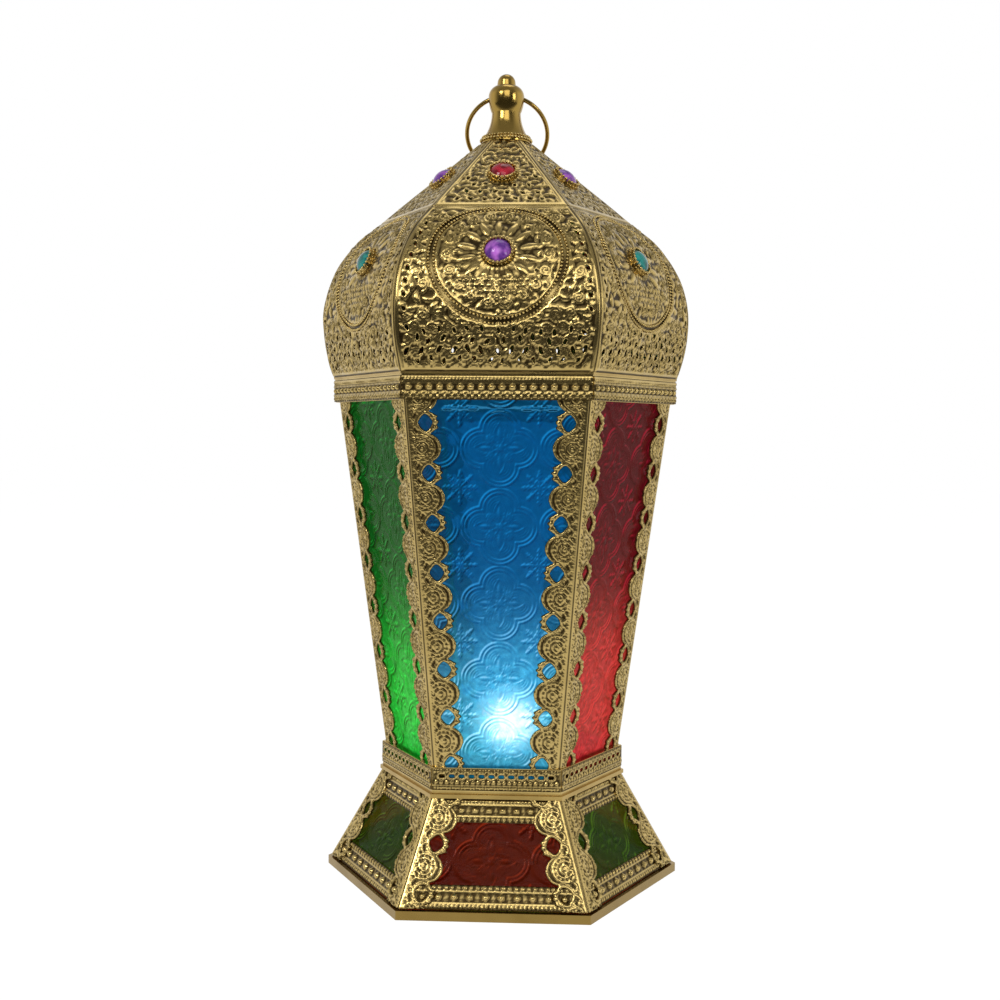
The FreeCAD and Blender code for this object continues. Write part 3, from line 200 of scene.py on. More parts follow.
def pattern_glass(name, tint, line_glow, lamp_glow, reach, core=0.0):
    """Coloured pressed glass with painted light: an emitted glow all over that grows towards the light behind
    it, painted shading on the pattern's slopes, painted glints and a painted bright spot.
    """
    finish = Finish(name)
    where = finish.place()
    away = finish.node("ShaderNodeVectorMath", {"operation": "DISTANCE"},
                       {0: where, 1: tuple(LAMP * MM)}, "Value")
    near = 1 / (1 + (away / reach) ** 8.0)
    # press is the height of the pattern, lit the painted shading of how far its slope faces the light
    press, lit = finish.attribute("press"), finish.attribute("lit")
    streaks = finish.noise(where, 420.0, 4.0).between(0.3, 0.8)
    lines = lit.between(0.56, 0.95)
    pattern = lit * (0.26 + streaks * 0.14) + lines * 0.45
    soft = finish.tint(pattern, (0, 0, 0, 1), line_glow)
    # Painted glints near the light
    sparks = finish.noise(where, 800.0, 2.0).between(0.6, 0.74)
    lamp_share = near * (lit * (1.5 + sparks * 0.8) + lines * 0.5) * (0.6 + streaks * 0.7)
    shine = finish.tint(lamp_share, soft, lamp_glow)
    # A painted white bright spot where the light sits behind the pane
    spot = 1 - (away + streaks * 0.0008).between(SPOT_FULL, SPOT_END)
    hot = spot * lit * 2.0 + near * lines * 0.45
    shine = finish.tint(hot * core, shine, (1.0, 1.0, 1.0, 1))
    ripple = finish.bump(finish.noise(where, 260.0, 2.0), 0.25, 0.0004)
    deep = tuple(0.75 * c for c in tint[:3]) + (1,)
    tone = finish.tint(press, deep, tint)
    return finish.show(finish.surface(
        Base_Color=tone, Roughness=0.12, IOR=1.06, Transmission_Weight=1.0, Normal=ripple,
        Coat_Weight=0.05, Coat_Roughness=0.06, Emission_Color=shine, Emission_Strength=1.0))


def gem_glass(name, deep, lively):
    """A foil-backed cabochon: clouded colour under a clear polish, with a painted sheen where it faces the
    eye.
    """
    finish = Finish(name)
    cloud = finish.noise(finish.place(), 260.0, 2.0).between(0.35, 0.7)
    facing = 1 - finish.node("ShaderNodeLayerWeight", None, {"Blend": 0.35}, "Facing")
    # Painted sheen: the colour turns lively where the gem faces the eye
    colour = finish.tint(cloud * facing, deep, lively)
    return finish.show(finish.surface(Base_Color=colour, Roughness=0.12, Coat_Weight=0.7,
                                      Coat_Roughness=0.03, Coat_IOR=1.3, Specular_IOR_Level=0.15))


def moulded(name, colour, shade, rough):
    """Moulded plastic with a faint unevenness."""
    finish = Finish(name)
    uneven = finish.noise(finish.place(), 320.0).between(0.3, 0.7)
    return finish.show(finish.surface(Base_Color=finish.tint(uneven, colour, shade),
                                      Roughness=rough + uneven * 0.1))


def lit_lens(name):
    """The milky flame lens, cool white and brightest at its middle."""
    finish = Finish(name)
    facing = finish.node("ShaderNodeLayerWeight", None, {"Blend": 0.5}, "Facing")
    colour = finish.tint(facing, (1.0, 1.0, 1.0, 1), (0.45, 0.85, 1.0, 1))
    return finish.show(finish.surface(Base_Color=(0.9, 0.95, 1.0, 1), Roughness=0.4,
                                      Emission_Color=colour, Emission_Strength=1.8))


# Dark colour of the painted shade in hollows
SHADE_DARK = (0.06, 0.035, 0.01, 1)
BRASS_PRESSED = brass("brass_pressed", (0.57, 0.42, 0.155, 1), (0.46, 0.33, 0.11, 1),
                      (0.024, 0.014, 0.005, 1), 0.13)
BRASS_PLAIN = brass("brass_plain", (0.50, 0.35, 0.115, 1), (0.38, 0.26, 0.08, 1), SHADE_DARK, 0.22)
BRASS_TURNED = brass("brass_turned", (0.41, 0.27, 0.065, 1), (0.35, 0.225, 0.055, 1), SHADE_DARK, 0.10, 0.08)
# A darker copy of the brass for the base rim: painted shade on the same metal
BRASS_RIM_SHADED = brass("brass_rim_shaded", (0.30, 0.20, 0.055, 1), (0.24, 0.155, 0.04, 1), SHADE_DARK, 0.2)

# Glass of the panes: tint, painted glow of the pattern, painted glow near the light, reach of that glow and
# its painted bright spot
PANE_GLASS = {name: pattern_glass(name, *looks) for name, looks in {
    "glass_blue": ((0.03, 0.20, 0.36, 1), (0.008, 0.21, 0.48, 1), (0.13, 0.66, 0.86, 1), 0.048, 1.0),
    "glass_blue_door": ((0.03, 0.20, 0.36, 1), (0.010, 0.20, 0.44, 1), (0.06, 0.40, 0.62, 1), 0.040),
    "glass_green": ((0.04, 0.26, 0.07, 1), (0.012, 0.31, 0.036, 1), (0.02, 0.62, 0.06, 1), 0.055),
    "glass_red": ((0.28, 0.03, 0.05, 1), (0.32, 0.007, 0.028, 1), (0.48, 0.03, 0.035, 1), 0.055),
    "glass_base_red": ((0.32, 0.04, 0.02, 1), (0.26, 0.024, 0.008, 1), (0.30, 0.06, 0.01, 1), 0.045),
    "glass_base_green": ((0.12, 0.22, 0.03, 1), (0.060, 0.14, 0.012, 1), (0.06, 0.16, 0.02, 1), 0.045),
}.items()}


# Numpy fields: relief heights and distances over surface coordinates

def highest(*heights):
    return functools.reduce(np.maximum, heights)


def ridge(distance, centre, width):
    """A rounded line at a distance from an edge, 0 to 1."""
    return np.exp(-((distance - centre) / width) ** 2)


def leaf(across, along, half_width, half_length):
    """Signed distance, about, to a leaf with pointed tips: negative inside."""
    slope = 2 * along * half_width / half_length ** 2
    gap = np.abs(across) - half_width * (1 - (along / half_length) ** 2)
    return gap / np.sqrt(1 + slope ** 2)


def turned(x, y, angle):
    """The same place, or a pair of directions, along axes turned by an angle."""
    return x * np.cos(angle) + y * np.sin(angle), y * np.cos(angle) - x * np.sin(angle)


def veined_leaf(across, along, half_width, half_length, bulge, vein, vein_width):
    """A pressed leaf with a sunken vein, 0 to 1."""
    body = np.clip(-leaf(across, along, half_width, half_length) / half_width, 0, 1) ** bulge
    return body * (1 - vein * ridge(across, 0, vein_width))


def scroll(x, y, radius, hand, start):
    """A coiled wire of about two turns inside a circle, 0 to 1."""
    rho = np.hypot(x, y)
    pitch = radius / 2.15
    arm = (rho / pitch - hand * np.arctan2(y, x) / (2 * np.pi) - start) % 1.0
    line = np.exp(-((arm - 0.5) * pitch / 0.42) ** 2)
    return line / (1 + np.exp((rho - radius) / 0.16))


def dot(x, y, radius):
    """A round knob, 0 to 1."""
    return np.sqrt(np.clip(1 - (np.hypot(x, y) / radius) ** 2, 0, 1))


def shake(row, column, seed=0.0):
    """An even-handed scatter from -1 to 1 for each place in a lattice."""
    mixed = np.sin(row * 12.9898 + column * 78.233 + seed * 37.719) * 43758.5453
    return 2 * (mixed - np.floor(mixed)) - 1


def stipple(x, y, pitch):
    """Close-set grains of uneven height on a skewed lattice, 0 to 1."""
    row = np.round(y / (pitch * 0.87))
    column = np.round(x / pitch - 0.5 * (row % 2))
    jitter = shake(row, column)
    dx = x - (column + 0.5 * (row % 2)) * pitch - 0.25 * jitter
    dy = y - row * pitch * 0.87 + 0.2 * jitter
    return (0.68 + 0.32 * jitter) * np.clip(1 - (np.hypot(dx, dy) / (0.46 * pitch)) ** 2, 0, 1)


def foliage(x, y, pitch):
    """Crowded curling leaves, veined and turned every way, 0 to 1."""
    lift = np.zeros(np.shape(x))
    for up in (-1, 0, 1):
        for over in (-1, 0, 1):
            row = np.round(y / pitch) + up
            column = np.round(x / pitch - 0.5 * (row % 2)) + over
            dx = x - (column + 0.5 * (row % 2) + 0.2 * shake(row, column)) * pitch
            dy = y - (row + 0.2 * shake(row, column, 4.0)) * pitch
            across, along = turned(dx, dy, np.pi * shake(row, column, 2.0))
            across = across + 0.35 * along ** 2 / pitch - 0.1 * pitch
            body = veined_leaf(across, along, 0.36 * pitch, 0.78 * pitch, 0.7, 0.4, 0.08 * pitch)
            lift = np.maximum(lift, body * (0.8 + 0.2 * shake(row, column, 3.0)))
    return lift


def blurred(grid, reach):
    """Mean over a square of cells, edges repeated."""
    for axis in (0, 1):
        padded = np.concatenate([np.repeat(np.take(grid, [0], axis), reach, axis), grid,
                                 np.repeat(np.take(grid, [-1], axis), reach, axis)], axis)
        total = np.cumsum(padded, axis)
        total = np.concatenate([np.zeros_like(np.take(total, [0], axis)), total], axis)
        span = 2 * reach + 1
        count = grid.shape[axis]
        grid = (np.take(total, range(span, span + count), axis)
                - np.take(total, range(count), axis)) / span
    return grid


class Sheet:
    """A closed pressed sheet over a grid: its points, quads, bake map and the painted shade of its hollows
    and back.
    """

    def __init__(self, s, t, field, gauge, hollow_depth):
        self.gauge = gauge
        cells = self.cut_cells(field(s, t)[1])
        touch, whole = (self.cells_round(chosen) for chosen in (cells, np.ones_like(cells)))
        s, t = s.copy(), t.copy()
        for _ in range(2):
            self.snap(s, t, (touch > 0) & (touch < whole), field)
        relief = field(s, t)[0]
        # Painted shade: darker where the relief lies below its neighbours or close to the sheet
        hollow_shade = np.clip((blurred(relief, 3) - relief) / hollow_depth * 0.75
                         + np.clip(0.22 - relief, 0, 1) * 2.4, 0, 1)
        used = touch > 0
        self.count = int(used.sum())
        self.close(cells, used)
        self.s, self.t, self.relief = s[used], t[used], relief[used]
        # The back of the sheet gets an even painted shade
        self.hollow_shade = np.concatenate([hollow_shade[used], np.full(self.count, BACK_SHADE)])
        u, v = (self.s - s.min()) / np.ptp(s), (self.t - t.min()) / np.ptp(t)
        self.map = np.concatenate([np.stack([u * MAP_FRONT, v], 1),
                                   np.stack([MAP_BACK + u * (1 - MAP_BACK), v], 1)])

    @staticmethod
    def cut_cells(inside):
        """Cells with metal in them. Those that meet at one corner only are opened up."""
        cells = (inside[:-1, :-1] + inside[1:, :-1] + inside[:-1, 1:] + inside[1:, 1:]) > 0
        for _ in range(4):
            a, b, c, d = cells[:-1, :-1], cells[:-1, 1:], cells[1:, :-1], cells[1:, 1:]
            first, second = a & d & ~b & ~c, b & c & ~a & ~d
            cells[:-1, :-1] &= ~first
            cells[:-1, 1:] &= ~second
        return cells

    @staticmethod
    def cells_round(cells):
        """How many cells meet at each corner of the grid."""
        grown = np.pad(cells, 1).astype(int)
        return grown[:-1, :-1] + grown[:-1, 1:] + grown[1:, :-1] + grown[1:, 1:]

    def close(self, cells, used):
        """Front and back quads, and walls round every edge and piercing."""
        number = np.full(used.shape, -1)
        number[used] = np.arange(self.count)
        corner = [number[:-1, :-1], number[:-1, 1:], number[1:, 1:], number[1:, :-1]]
        front = np.stack([k[cells] for k in corner], 1)
        grown = np.pad(cells, 1)
        open_sides = [~grown[:-2, 1:-1], ~grown[1:-1, 2:], ~grown[2:, 1:-1], ~grown[1:-1, :-2]]
        walls = []
        for index, bare in enumerate(open_sides):
            start, end = (corner[k % 4][cells & bare] for k in (index, index + 1))
            walls.append(np.stack([end, start, start + self.count, end + self.count], 1))
        self.quads = np.concatenate([front, front[:, ::-1] + self.count] + walls)
        self.flat_from = 2 * len(front)

    @staticmethod
    def snap(s, t, edge, field, step=0.04, most=0.35):
        """Move the cells' outer corners on to the cut line."""
        x, y = s[edge], t[edge]
        here = field(x, y)[1]
        slope_s = (field(x + step, y)[1] - here) / step
        slope_t = (field(x, y + step)[1] - here) / step
        size = np.maximum(slope_s ** 2 + slope_t ** 2, 0.2)
        move = np.clip(here, -most, most) / size
        s[edge] = x - move * slope_s
        t[edge] = y - move * slope_t

    def points(self, place):
        return np.concatenate([place(self.s, self.t, self.relief),
                               place(self.s, self.t, np.full(self.count, -self.gauge))])

    def loops(self):
        """Loop coordinates: the walls take those of the front edge."""
        corners = self.quads.copy()
        corners[self.flat_from:] %= self.count
        return self.map[corners.ravel()]


def show_object(name, data):
    made = bpy.data.objects.new(name, data)
    bpy.context.scene.collection.objects.link(made)
    return made


def mesh_piece(name, points, faces, finish, smooth=True):
    mesh = bpy.data.meshes.new(name)
    mesh.from_pydata((np.asarray(points) * MM).tolist(), [], [list(face) for face in faces])
    mesh.polygons.foreach_set("use_smooth", np.resize(np.asarray(smooth, bool), len(mesh.polygons)))
    mesh.materials.append(finish)
    return show_object(name, mesh)


def store(piece, name, values):
    attribute = piece.data.attributes.new(name, "FLOAT", "POINT")
    attribute.data.foreach_set("value", np.asarray(values, np.float32))


def bake_map(piece, loops):
    piece.data.uv_layers.new(name="OFBake").data.foreach_set("uv", loops.astype(np.float32).ravel())


def seat(piece, body, slot, *nodes):
    """The piece moves with a body and may stand for CAD nodes. slot is not used."""
    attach(piece, body)
    if nodes:
        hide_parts(*nodes)


def pressed_piece(name, parts, body, *nodes):
    """One piece of several pressed sheets, each with the way it is placed."""
    points, quads, smooth, hollow_shade, loops, start = [], [], [], [], [], 0
    for index, (sheet, place) in enumerate(parts):
        points.append(sheet.points(place))
        quads.append(sheet.quads + start)
        start += 2 * sheet.count
        smooth.append(np.arange(len(sheet.quads)) < sheet.flat_from)
        hollow_shade.append(sheet.hollow_shade)
        loops.append((sheet.loops() + (index, 0)) / (len(parts), 1))
    piece = mesh_piece(name, np.concatenate(points), np.concatenate(quads).tolist(), BRASS_PRESSED,
                       np.concatenate(smooth))
    # Painted shade of the hollows and backs, read by the brass finish
    store(piece, "hollow_shade", np.concatenate(hollow_shade))
    bake_map(piece, np.concatenate(loops))
    seat(piece, body, "brass_lace", *nodes)


def spun(index):
    """Turn about the upright axis from the front side to another side."""
    angle = math.radians(60 * index)
    c, s = math.cos(angle), math.sin(angle)
    return np.array([[c, -s, 0], [s, c, 0], [0, 0, 1]])


def heading(degrees):
    """Level direction away from the axis: 0 is to the right and -90 to the front."""
    angle = math.radians(degrees)
    return np.array([math.cos(angle), math.sin(angle), 0.0])


def fanned(t, half, columns):
    """Grid over a face whose half width changes along it."""
    return np.linspace(-1, 1, columns)[None, :] * half[:, None], np.repeat(t[:, None], columns, 1)


class Slope:
    """The six sloping sides of the base or of the body."""

    def __init__(self, foot_radius, head_radius, foot_z, head_z):
        """lean tips a side, slant a corner within a side. A fold's back draws in by mitre."""
        self.foot_radius, self.foot_z = foot_radius, foot_z
        self.rise = (head_radius - foot_radius) / (head_z - foot_z)
        self.lean = math.atan(self.rise * COS30)
        self.stretch = 1 / math.cos(self.lean)
        self.slant = math.atan(self.rise / 2 * math.cos(self.lean))
        turn = math.acos(0.5 * math.cos(self.lean) ** 2 + math.sin(self.lean) ** 2)
        self.mitre = math.tan(turn / 2)

    def radius(self, level):
        return self.foot_radius + self.rise * (level - self.foot_z)

    def axes(self, index):
        """Right, up and outward directions of a side."""
        flat = heading(60 * index - 90)
        out = flat * math.cos(self.lean) - UP * math.sin(self.lean)
        up = flat * math.sin(self.lean) + UP * math.cos(self.lean)
        return np.cross(up, out), up, out

    def middle(self, index, level):
        return heading(60 * index - 90) * self.radius(level) * COS30 + UP * level

    def edge(self, corner, level):
        outward = heading(60 * corner - 60)
        along = outward * self.rise + UP
        return outward * self.radius(level) + UP * level, along / np.linalg.norm(along)


BASE = Slope(74.4, 51.8, RIM_TOP, NECK)
BODY = Slope(50.4, 70.7, FOOT, HEAD)


# Pierced lace strips along the corners

LACE_PITCH, LACE_WIDTH, LACE_SPARE, LACE_CELL = 19.7, 12.6, 0.1, 0.5
LACE_TIP, LACE_NOTCH, LACE_SHOULDER, LACE_VALLEY, LACE_NICK = 3.4, 4.4, 11.4, 8.6, 0.9
EYE_LEVEL, EYE_HALF_LENGTH, EYE_HALF_WIDTH, EYE_POWER = 7.2, 3.3, 2.75, 1.35
FAN_LEVEL, FAN_BARS, FAN_RINGS = 5.0, 14, (1.7, 3.2, 4.8)
GRAIN_PITCH, PLAIT_LEVEL, PLAIT_SWING = 1.231, 3.5, 1.5


def arc_height(x, half, low, top):
    """Height of an arc that rises from low at both ends of a chord to top in the middle."""
    rise = top - low
    radius = (half ** 2 + rise ** 2) / (2 * rise)
    return top - radius + np.sqrt(np.clip(radius ** 2 - x ** 2, 0, None))


def lace_edge(x):
    """Outer edge of the strip over one repeat, with x from the middle of the pierced lobe."""
    a = np.abs(x)
    tip = arc_height(a, LACE_TIP, LACE_SHOULDER, LACE_WIDTH)
    tip -= LACE_NICK * (0.5 - 0.5 * np.cos(3 * np.pi * a / LACE_TIP))
    share = (a - LACE_TIP) / (LACE_NOTCH - LACE_TIP)
    side = LACE_SHOULDER - LACE_NICK + (LACE_VALLEY - LACE_SHOULDER + LACE_NICK) * share
    shell = arc_height(LACE_PITCH / 2 - a, LACE_PITCH / 2 - LACE_NOTCH, LACE_VALLEY, LACE_WIDTH)
    return np.where(a < LACE_TIP, tip, np.where(a < LACE_NOTCH, side, shell))


# Points of the outer edge, from which distances to it are taken
LACE_LINE = np.linspace(-0.75, 0.75, 220) * LACE_PITCH
LACE_LINE_Y = lace_edge((LACE_LINE + LACE_PITCH / 2) % LACE_PITCH - LACE_PITCH / 2)


def lace_field(phase, sense):
    """Relief and cut line of a strip: s along the corner, t away from it."""
    def field(s, t):
        x = (s * sense - phase + LACE_PITCH / 2) % LACE_PITCH - LACE_PITCH / 2
        a = np.abs(x)
        near = np.full(x.shape, 1e9)
        for px, py in zip(LACE_LINE, LACE_LINE_Y):
            np.minimum(near, (x - px) ** 2 + (t - py) ** 2, out=near)
        rim = np.sqrt(near) * np.sign(lace_edge(x) - t)
        within = rim > 0.8
        eye = (np.abs(x / EYE_HALF_LENGTH) ** EYE_POWER
               + np.abs((t - EYE_LEVEL) / EYE_HALF_WIDTH) ** EYE_POWER)
        eye = (eye ** (1 / EYE_POWER) - 1) * 2.5
        fan_x, fan_y = a - LACE_PITCH / 2, t - FAN_LEVEL
        rho, spread = np.hypot(fan_x, fan_y), np.arctan2(fan_x, fan_y)
        bars = 0.5 + 0.5 * np.cos(spread * FAN_BARS)
        fingers = np.cos(1.5 * np.pi * x / LACE_TIP) ** 2 * np.clip((t - 9.6) / 0.8, 0, 1) * (a < 3.3)
        grains = np.abs((x / GRAIN_PITCH) % 1.0 - 0.5) * 2
        strand = PLAIT_SWING * np.sin(x * 4 * np.pi / LACE_PITCH)
        forms = [
            0.85 * ridge(rim, 0.5, 0.36),
            0.9 * ridge(eye, 0.55, 0.38),
            0.55 * ridge(eye, 1.5, 0.3),
            0.9 * fingers * np.clip(rim / 0.3, 0, 1),
            0.65 * bars * ridge(rho, 4.0, 0.6) * (fan_y > -1.0) * within,
            0.8 * dot(fan_x, fan_y, 0.95),
            0.75 * veined_leaf(*turned(a - 4.7, t - 5.4, math.radians(-30)), 0.7, 2.2, 0.6, 0.45, 0.32),
            0.55 * ridge(t, 0.8, 0.34),
            0.6 * ridge(t, 1.75, 0.42) * np.clip(1.6 - 2 * grains, 0, 1),
            0.2 * stipple(x, t, 1.2),
        ]
        forms += [0.8 * ridge(rho, radius, 0.4) * (fan_y > -3.0) * within for radius in FAN_RINGS]
        forms += [0.8 * ridge(t - wave, PLAIT_LEVEL, 0.42) * (eye > 1.6) for wave in (strand, -strand)]
        return highest(*forms) * np.clip(t / 0.5, 0, 1), np.minimum(rim, eye)
    return field


def lace_sheet(slope, corner, wing, low, high, phase, start=0.0, on_top=0.0):
    """One wing of a strip: 0 on the side before the corner, 1 on the side after it."""
    side = (corner + wing) % 6
    out = slope.axes(side)[2]
    point, along = slope.edge(corner, low)
    across = np.cross(out, along) if wing == 0 else np.cross(along, out)
    sense = 1 if wing == 0 else -1
    length = (high - low) / along[2]
    ends = np.linspace(0, length, int(length / LACE_CELL)) * sense
    y = np.linspace(start, LACE_WIDTH + LACE_SPARE, int((LACE_WIDTH - start) / LACE_CELL))
    s, t = np.meshgrid(np.sort(ends), y)
    s = s - sense * t * math.tan(slope.slant)

    def place(x, y, lift):
        inward = np.clip(-lift, 0, None) * slope.mitre * np.clip(1 - y / 2, 0, 1) * (on_top == 0)
        return (point + np.outer(x * sense, along) + np.outer(y + inward, across)
                + np.outer(lift + on_top, out))
    return Sheet(s, t, lace_field(phase, sense), SHEET, LACE_HOLLOW), place


LACE_LAP, LACE_START, BASE_LACE_START = 1.6, 2.4, 8.0
DOOR_END_GAP, DOOR_LACE_INSET = 1.2, 1.0


def make_lace():
    """Strips over the body's corners, split at the door, and over the base's corners."""
    run = FOOT - LACE_LAP, HEAD + LACE_LAP, LACE_START
    for corner, place in ((0, "front_right"), (1, "right"), (4, "left"), (5, "front_left")):
        wings = [lace_sheet(BODY, corner, wing, *run) for wing in (0, 1)]
        pressed_piece(f"lace_{place}", wings, "root", f"corner_strip_{place}")
    halves = [lace_sheet(BODY, DOOR - 1, 0, *run), lace_sheet(BODY, DOOR, 1, *run)]
    pressed_piece("lace_by_door", halves, "root", "corner_half_strips")
    run = FOOT + DOOR_END_GAP, HEAD - DOOR_END_GAP, LACE_START + LACE_PITCH / 2, DOOR_LACE_INSET, SHEET
    strips = [lace_sheet(BODY, DOOR - 1, 1, *run), lace_sheet(BODY, DOOR, 0, *run)]
    pressed_piece("lace_on_door", strips, "door", "door_strips")
    corners = [lace_sheet(BASE, corner, wing, BASE_FOOT, NECK, BASE_LACE_START)
               for corner in range(6) for wing in (0, 1)]
    pressed_piece("lace_base", corners, "root", "base_corner_strips")


# Dome and crown petals

class Dome:
    """Middle line of a petal: distance out and height against the length along it."""

    rim, belly, shoulder, crown, top = (r * COS30 for r in (73.4, 78.0, 60.5, 53.3, 11.0))
    belly_z, shoulder_z, top_z = DOME_FOOT + 24.0, DOME_FOOT + 59.5, DOME_FOOT + 98.9
    gauge, seam = 0.7, 0.09

    def __init__(self):
        slope = (self.top - self.shoulder) / (self.top_z - self.shoulder_z)
        self.crown_z = self.shoulder_z + (self.crown - self.shoulder) / slope
        heights = np.concatenate([np.linspace(DOME_FOOT, self.shoulder_z, 400),
                                  np.linspace(self.shoulder_z, self.top_z, 200)[1:]])
        low, high = self.belly_z - DOME_FOOT, self.shoulder_z - self.belly_z
        radii = [((self.belly - inset) ** 2 + tall ** 2) / (2 * (self.belly - inset))
                 for inset, tall in ((self.rim, low), (self.shoulder, high))]
        radius = np.where(heights < self.belly_z, radii[0], radii[1])
        curve = self.belly - radius + np.sqrt(np.clip(radius ** 2 - (heights - self.belly_z) ** 2, 0, None))
        out = np.where(heights <= self.shoulder_z, curve, self.shoulder + slope * (heights - self.shoulder_z))
        self.z, self.out = heights, out
        self.length = np.concatenate([[0], np.cumsum(np.hypot(np.diff(out), np.diff(heights)))])
        steep = np.gradient(out, self.length), np.gradient(heights, self.length)
        self.normal = np.stack([steep[1], -steep[0]])

    def along(self, level):
        return float(np.interp(level, self.z, self.length))

    def half(self, t):
        """Half the width of a petal, a seam short of the rib."""
        return np.interp(t, self.length, self.out) * TAN30 - self.seam

    def place(self, index):
        turn = spun(index)

        def put(s, t, lift):
            out = np.interp(t, self.length, self.out) + lift * np.interp(t, self.length, self.normal[0])
            z = np.interp(t, self.length, self.z) + lift * np.interp(t, self.length, self.normal[1])
            return np.stack([s, -out, z], 1) @ turn.T
        return put


DOME = Dome()
GEM_LEVELS = 257.2, 293.2

# Lengths along a petal's middle line
DOME_GEM, CROWN_GEM, CROWN_FOOT, CROWN_TOP = map(DOME.along, (*GEM_LEVELS, DOME.crown_z, DOME.top_z))
PETAL_CELL, CROWN_CELL = 0.52, 0.56
MEDALLION, MEDALLION_DROP, MEDALLION_BAND = 25.4, 1.6, 1.95
COILS, COIL_CIRCLE, COIL = 18, 19.3, 2.5
COIL_PITCH, COIL_STEP, COIL_FIRST = 6.2, 5.2, 6.6
GEM_CLEAR = 6.0

# Rows of pierced leaves: height above the sheet's foot, shift in pitches, half width and half length
LEAF_PITCH, LEAF_MARGIN = 5.6, 4.0
PETAL_LEAVES = ((4.6, 0.5, 0.55, 1.3), (8.2, 0.0, 0.75, 1.9), (12.0, 0.5, 0.7, 1.6), (15.4, 0.0, 0.6, 1.5))
CROWN_LEAVES = tuple((height, shift, 0.55, 1.3) for height, shift in (
    (3.2, 0.0), (6.4, 0.5), (10.2, 0.0), (13.6, 0.5), (20.5, 0.0)))
SIDE_FIRST, SIDE_STEP, SIDE_STEPS, SIDE_INSET = 24.0, 5.2, 7, 3.6

# Distance that stands for far from any piercing
UNPIERCED = 9.0


def rosette(s, y, leaves, inner, outer, width):
    """Ribs round a bezel and a wheel of leaves with dots between their tips."""
    r, a = np.hypot(s, y), np.arctan2(s, y)
    ribs = 0.45 * (0.5 + 0.5 * np.cos(a * 2 * leaves)) * np.clip((inner - r) / 0.6, 0, 1)
    sector = 2 * np.pi / leaves
    offset = (a + sector / 2) % sector - sector / 2
    middle, reach = (inner + outer) / 2, (outer - inner) / 2
    across = offset * r
    body = veined_leaf(across, r - middle, width, reach, 0.6, 0.4, 0.35)
    between = (a % sector) - sector / 2
    return highest(ribs, 0.85 * body, 0.7 * dot(between * r, r - outer, 1.0))


def tilted_leaves(s, t, level, shift, width, length, seed):
    """Distance from a row of leaves that lean and wander a little."""
    column = np.round(s / LEAF_PITCH - shift) + shift
    x = s - column * LEAF_PITCH - 0.8 * shake(seed, column, 1.0)
    y = t - level - 0.9 * shake(seed, column, 2.0)
    gap = leaf(*turned(x, y, 0.75 * shake(seed, column, 3.0)), width, length)
    return np.where(np.abs(column * LEAF_PITCH) < DOME.half(level) - LEAF_MARGIN, gap, UNPIERCED)


def pierced_rows(s, t, foot, rows, seed):
    """Distance into the metal from the nearest leaf of the rows above a sheet's foot."""
    inside = np.full(s.shape, UNPIERCED)
    for number, (height, *form) in enumerate(rows):
        inside = np.minimum(inside, tilted_leaves(s, t, DOME.along(foot + height), *form, seed + number))
    return inside


def petal_holes(s, t):
    """Rows of leaves at the foot of a dome petal and a column of them along each rib."""
    level = SIDE_FIRST + SIDE_STEP * np.clip(np.round((t - SIDE_FIRST) / SIDE_STEP), 0, SIDE_STEPS)
    x, y = np.abs(s) - DOME.half(t) + SIDE_INSET, t - level
    column = leaf(*turned(x, y, 0.5 * np.sign(s)), 0.6, 1.3)
    return np.minimum(pierced_rows(s, t, DOME_FOOT, PETAL_LEAVES, 0), column)


def medallion(s, y):
    """Relief within a medallion: a leaf wheel, a bunch of grapes and a circle of coils among leaves."""
    lift = np.where(np.hypot(s, y) > 15.0, 0.75, 0.3) * foliage(s, y, 3.0)
    lift = np.maximum(lift, 1.25 * rosette(s, y, 14, 8.0, 16.4, 1.5))
    for index in range(COILS):
        angle = 2 * np.pi * (index + 0.5) / COILS
        dx, dy = s - COIL_CIRCLE * math.sin(angle), y - (COIL_CIRCLE * math.cos(angle) - 0.9)
        coil = scroll(dx, dy, COIL, 1 if index % 2 else -1, index * 0.13)
        lift = np.where(np.hypot(dx, dy) < COIL + 0.2, 0.95 * coil, lift)
    grapes = 1.1 * stipple(s, y, 2.6) * (y < -9.5) * (np.abs(s) < 16) * (y > -19.0 + 0.03 * s * s)
    return np.where(grapes > 0, grapes, lift)


def strewn_coils(s, t):
    """Coils of either hand on a shaken lattice, and where they cover a petal."""
    row = np.round((t - COIL_FIRST) / COIL_STEP)
    column = np.round(s / COIL_PITCH - 0.5 * (row % 2)) + 0.5 * (row % 2)
    dx = s - column * COIL_PITCH - 0.5 * shake(row, column)
    dy = t - COIL_FIRST - row * COIL_STEP - 0.5 * shake(row, column, 4.0)
    coils = np.where(shake(row, column, 2.0) > 0, scroll(dx, dy, COIL, 1, 0.1), scroll(dx, dy, COIL, -1, 0.4))
    chosen = (t < 22) | (shake(row, column, 5.0) > -0.3)
    return coils, chosen & (np.hypot(dx, dy) < COIL + 0.1)


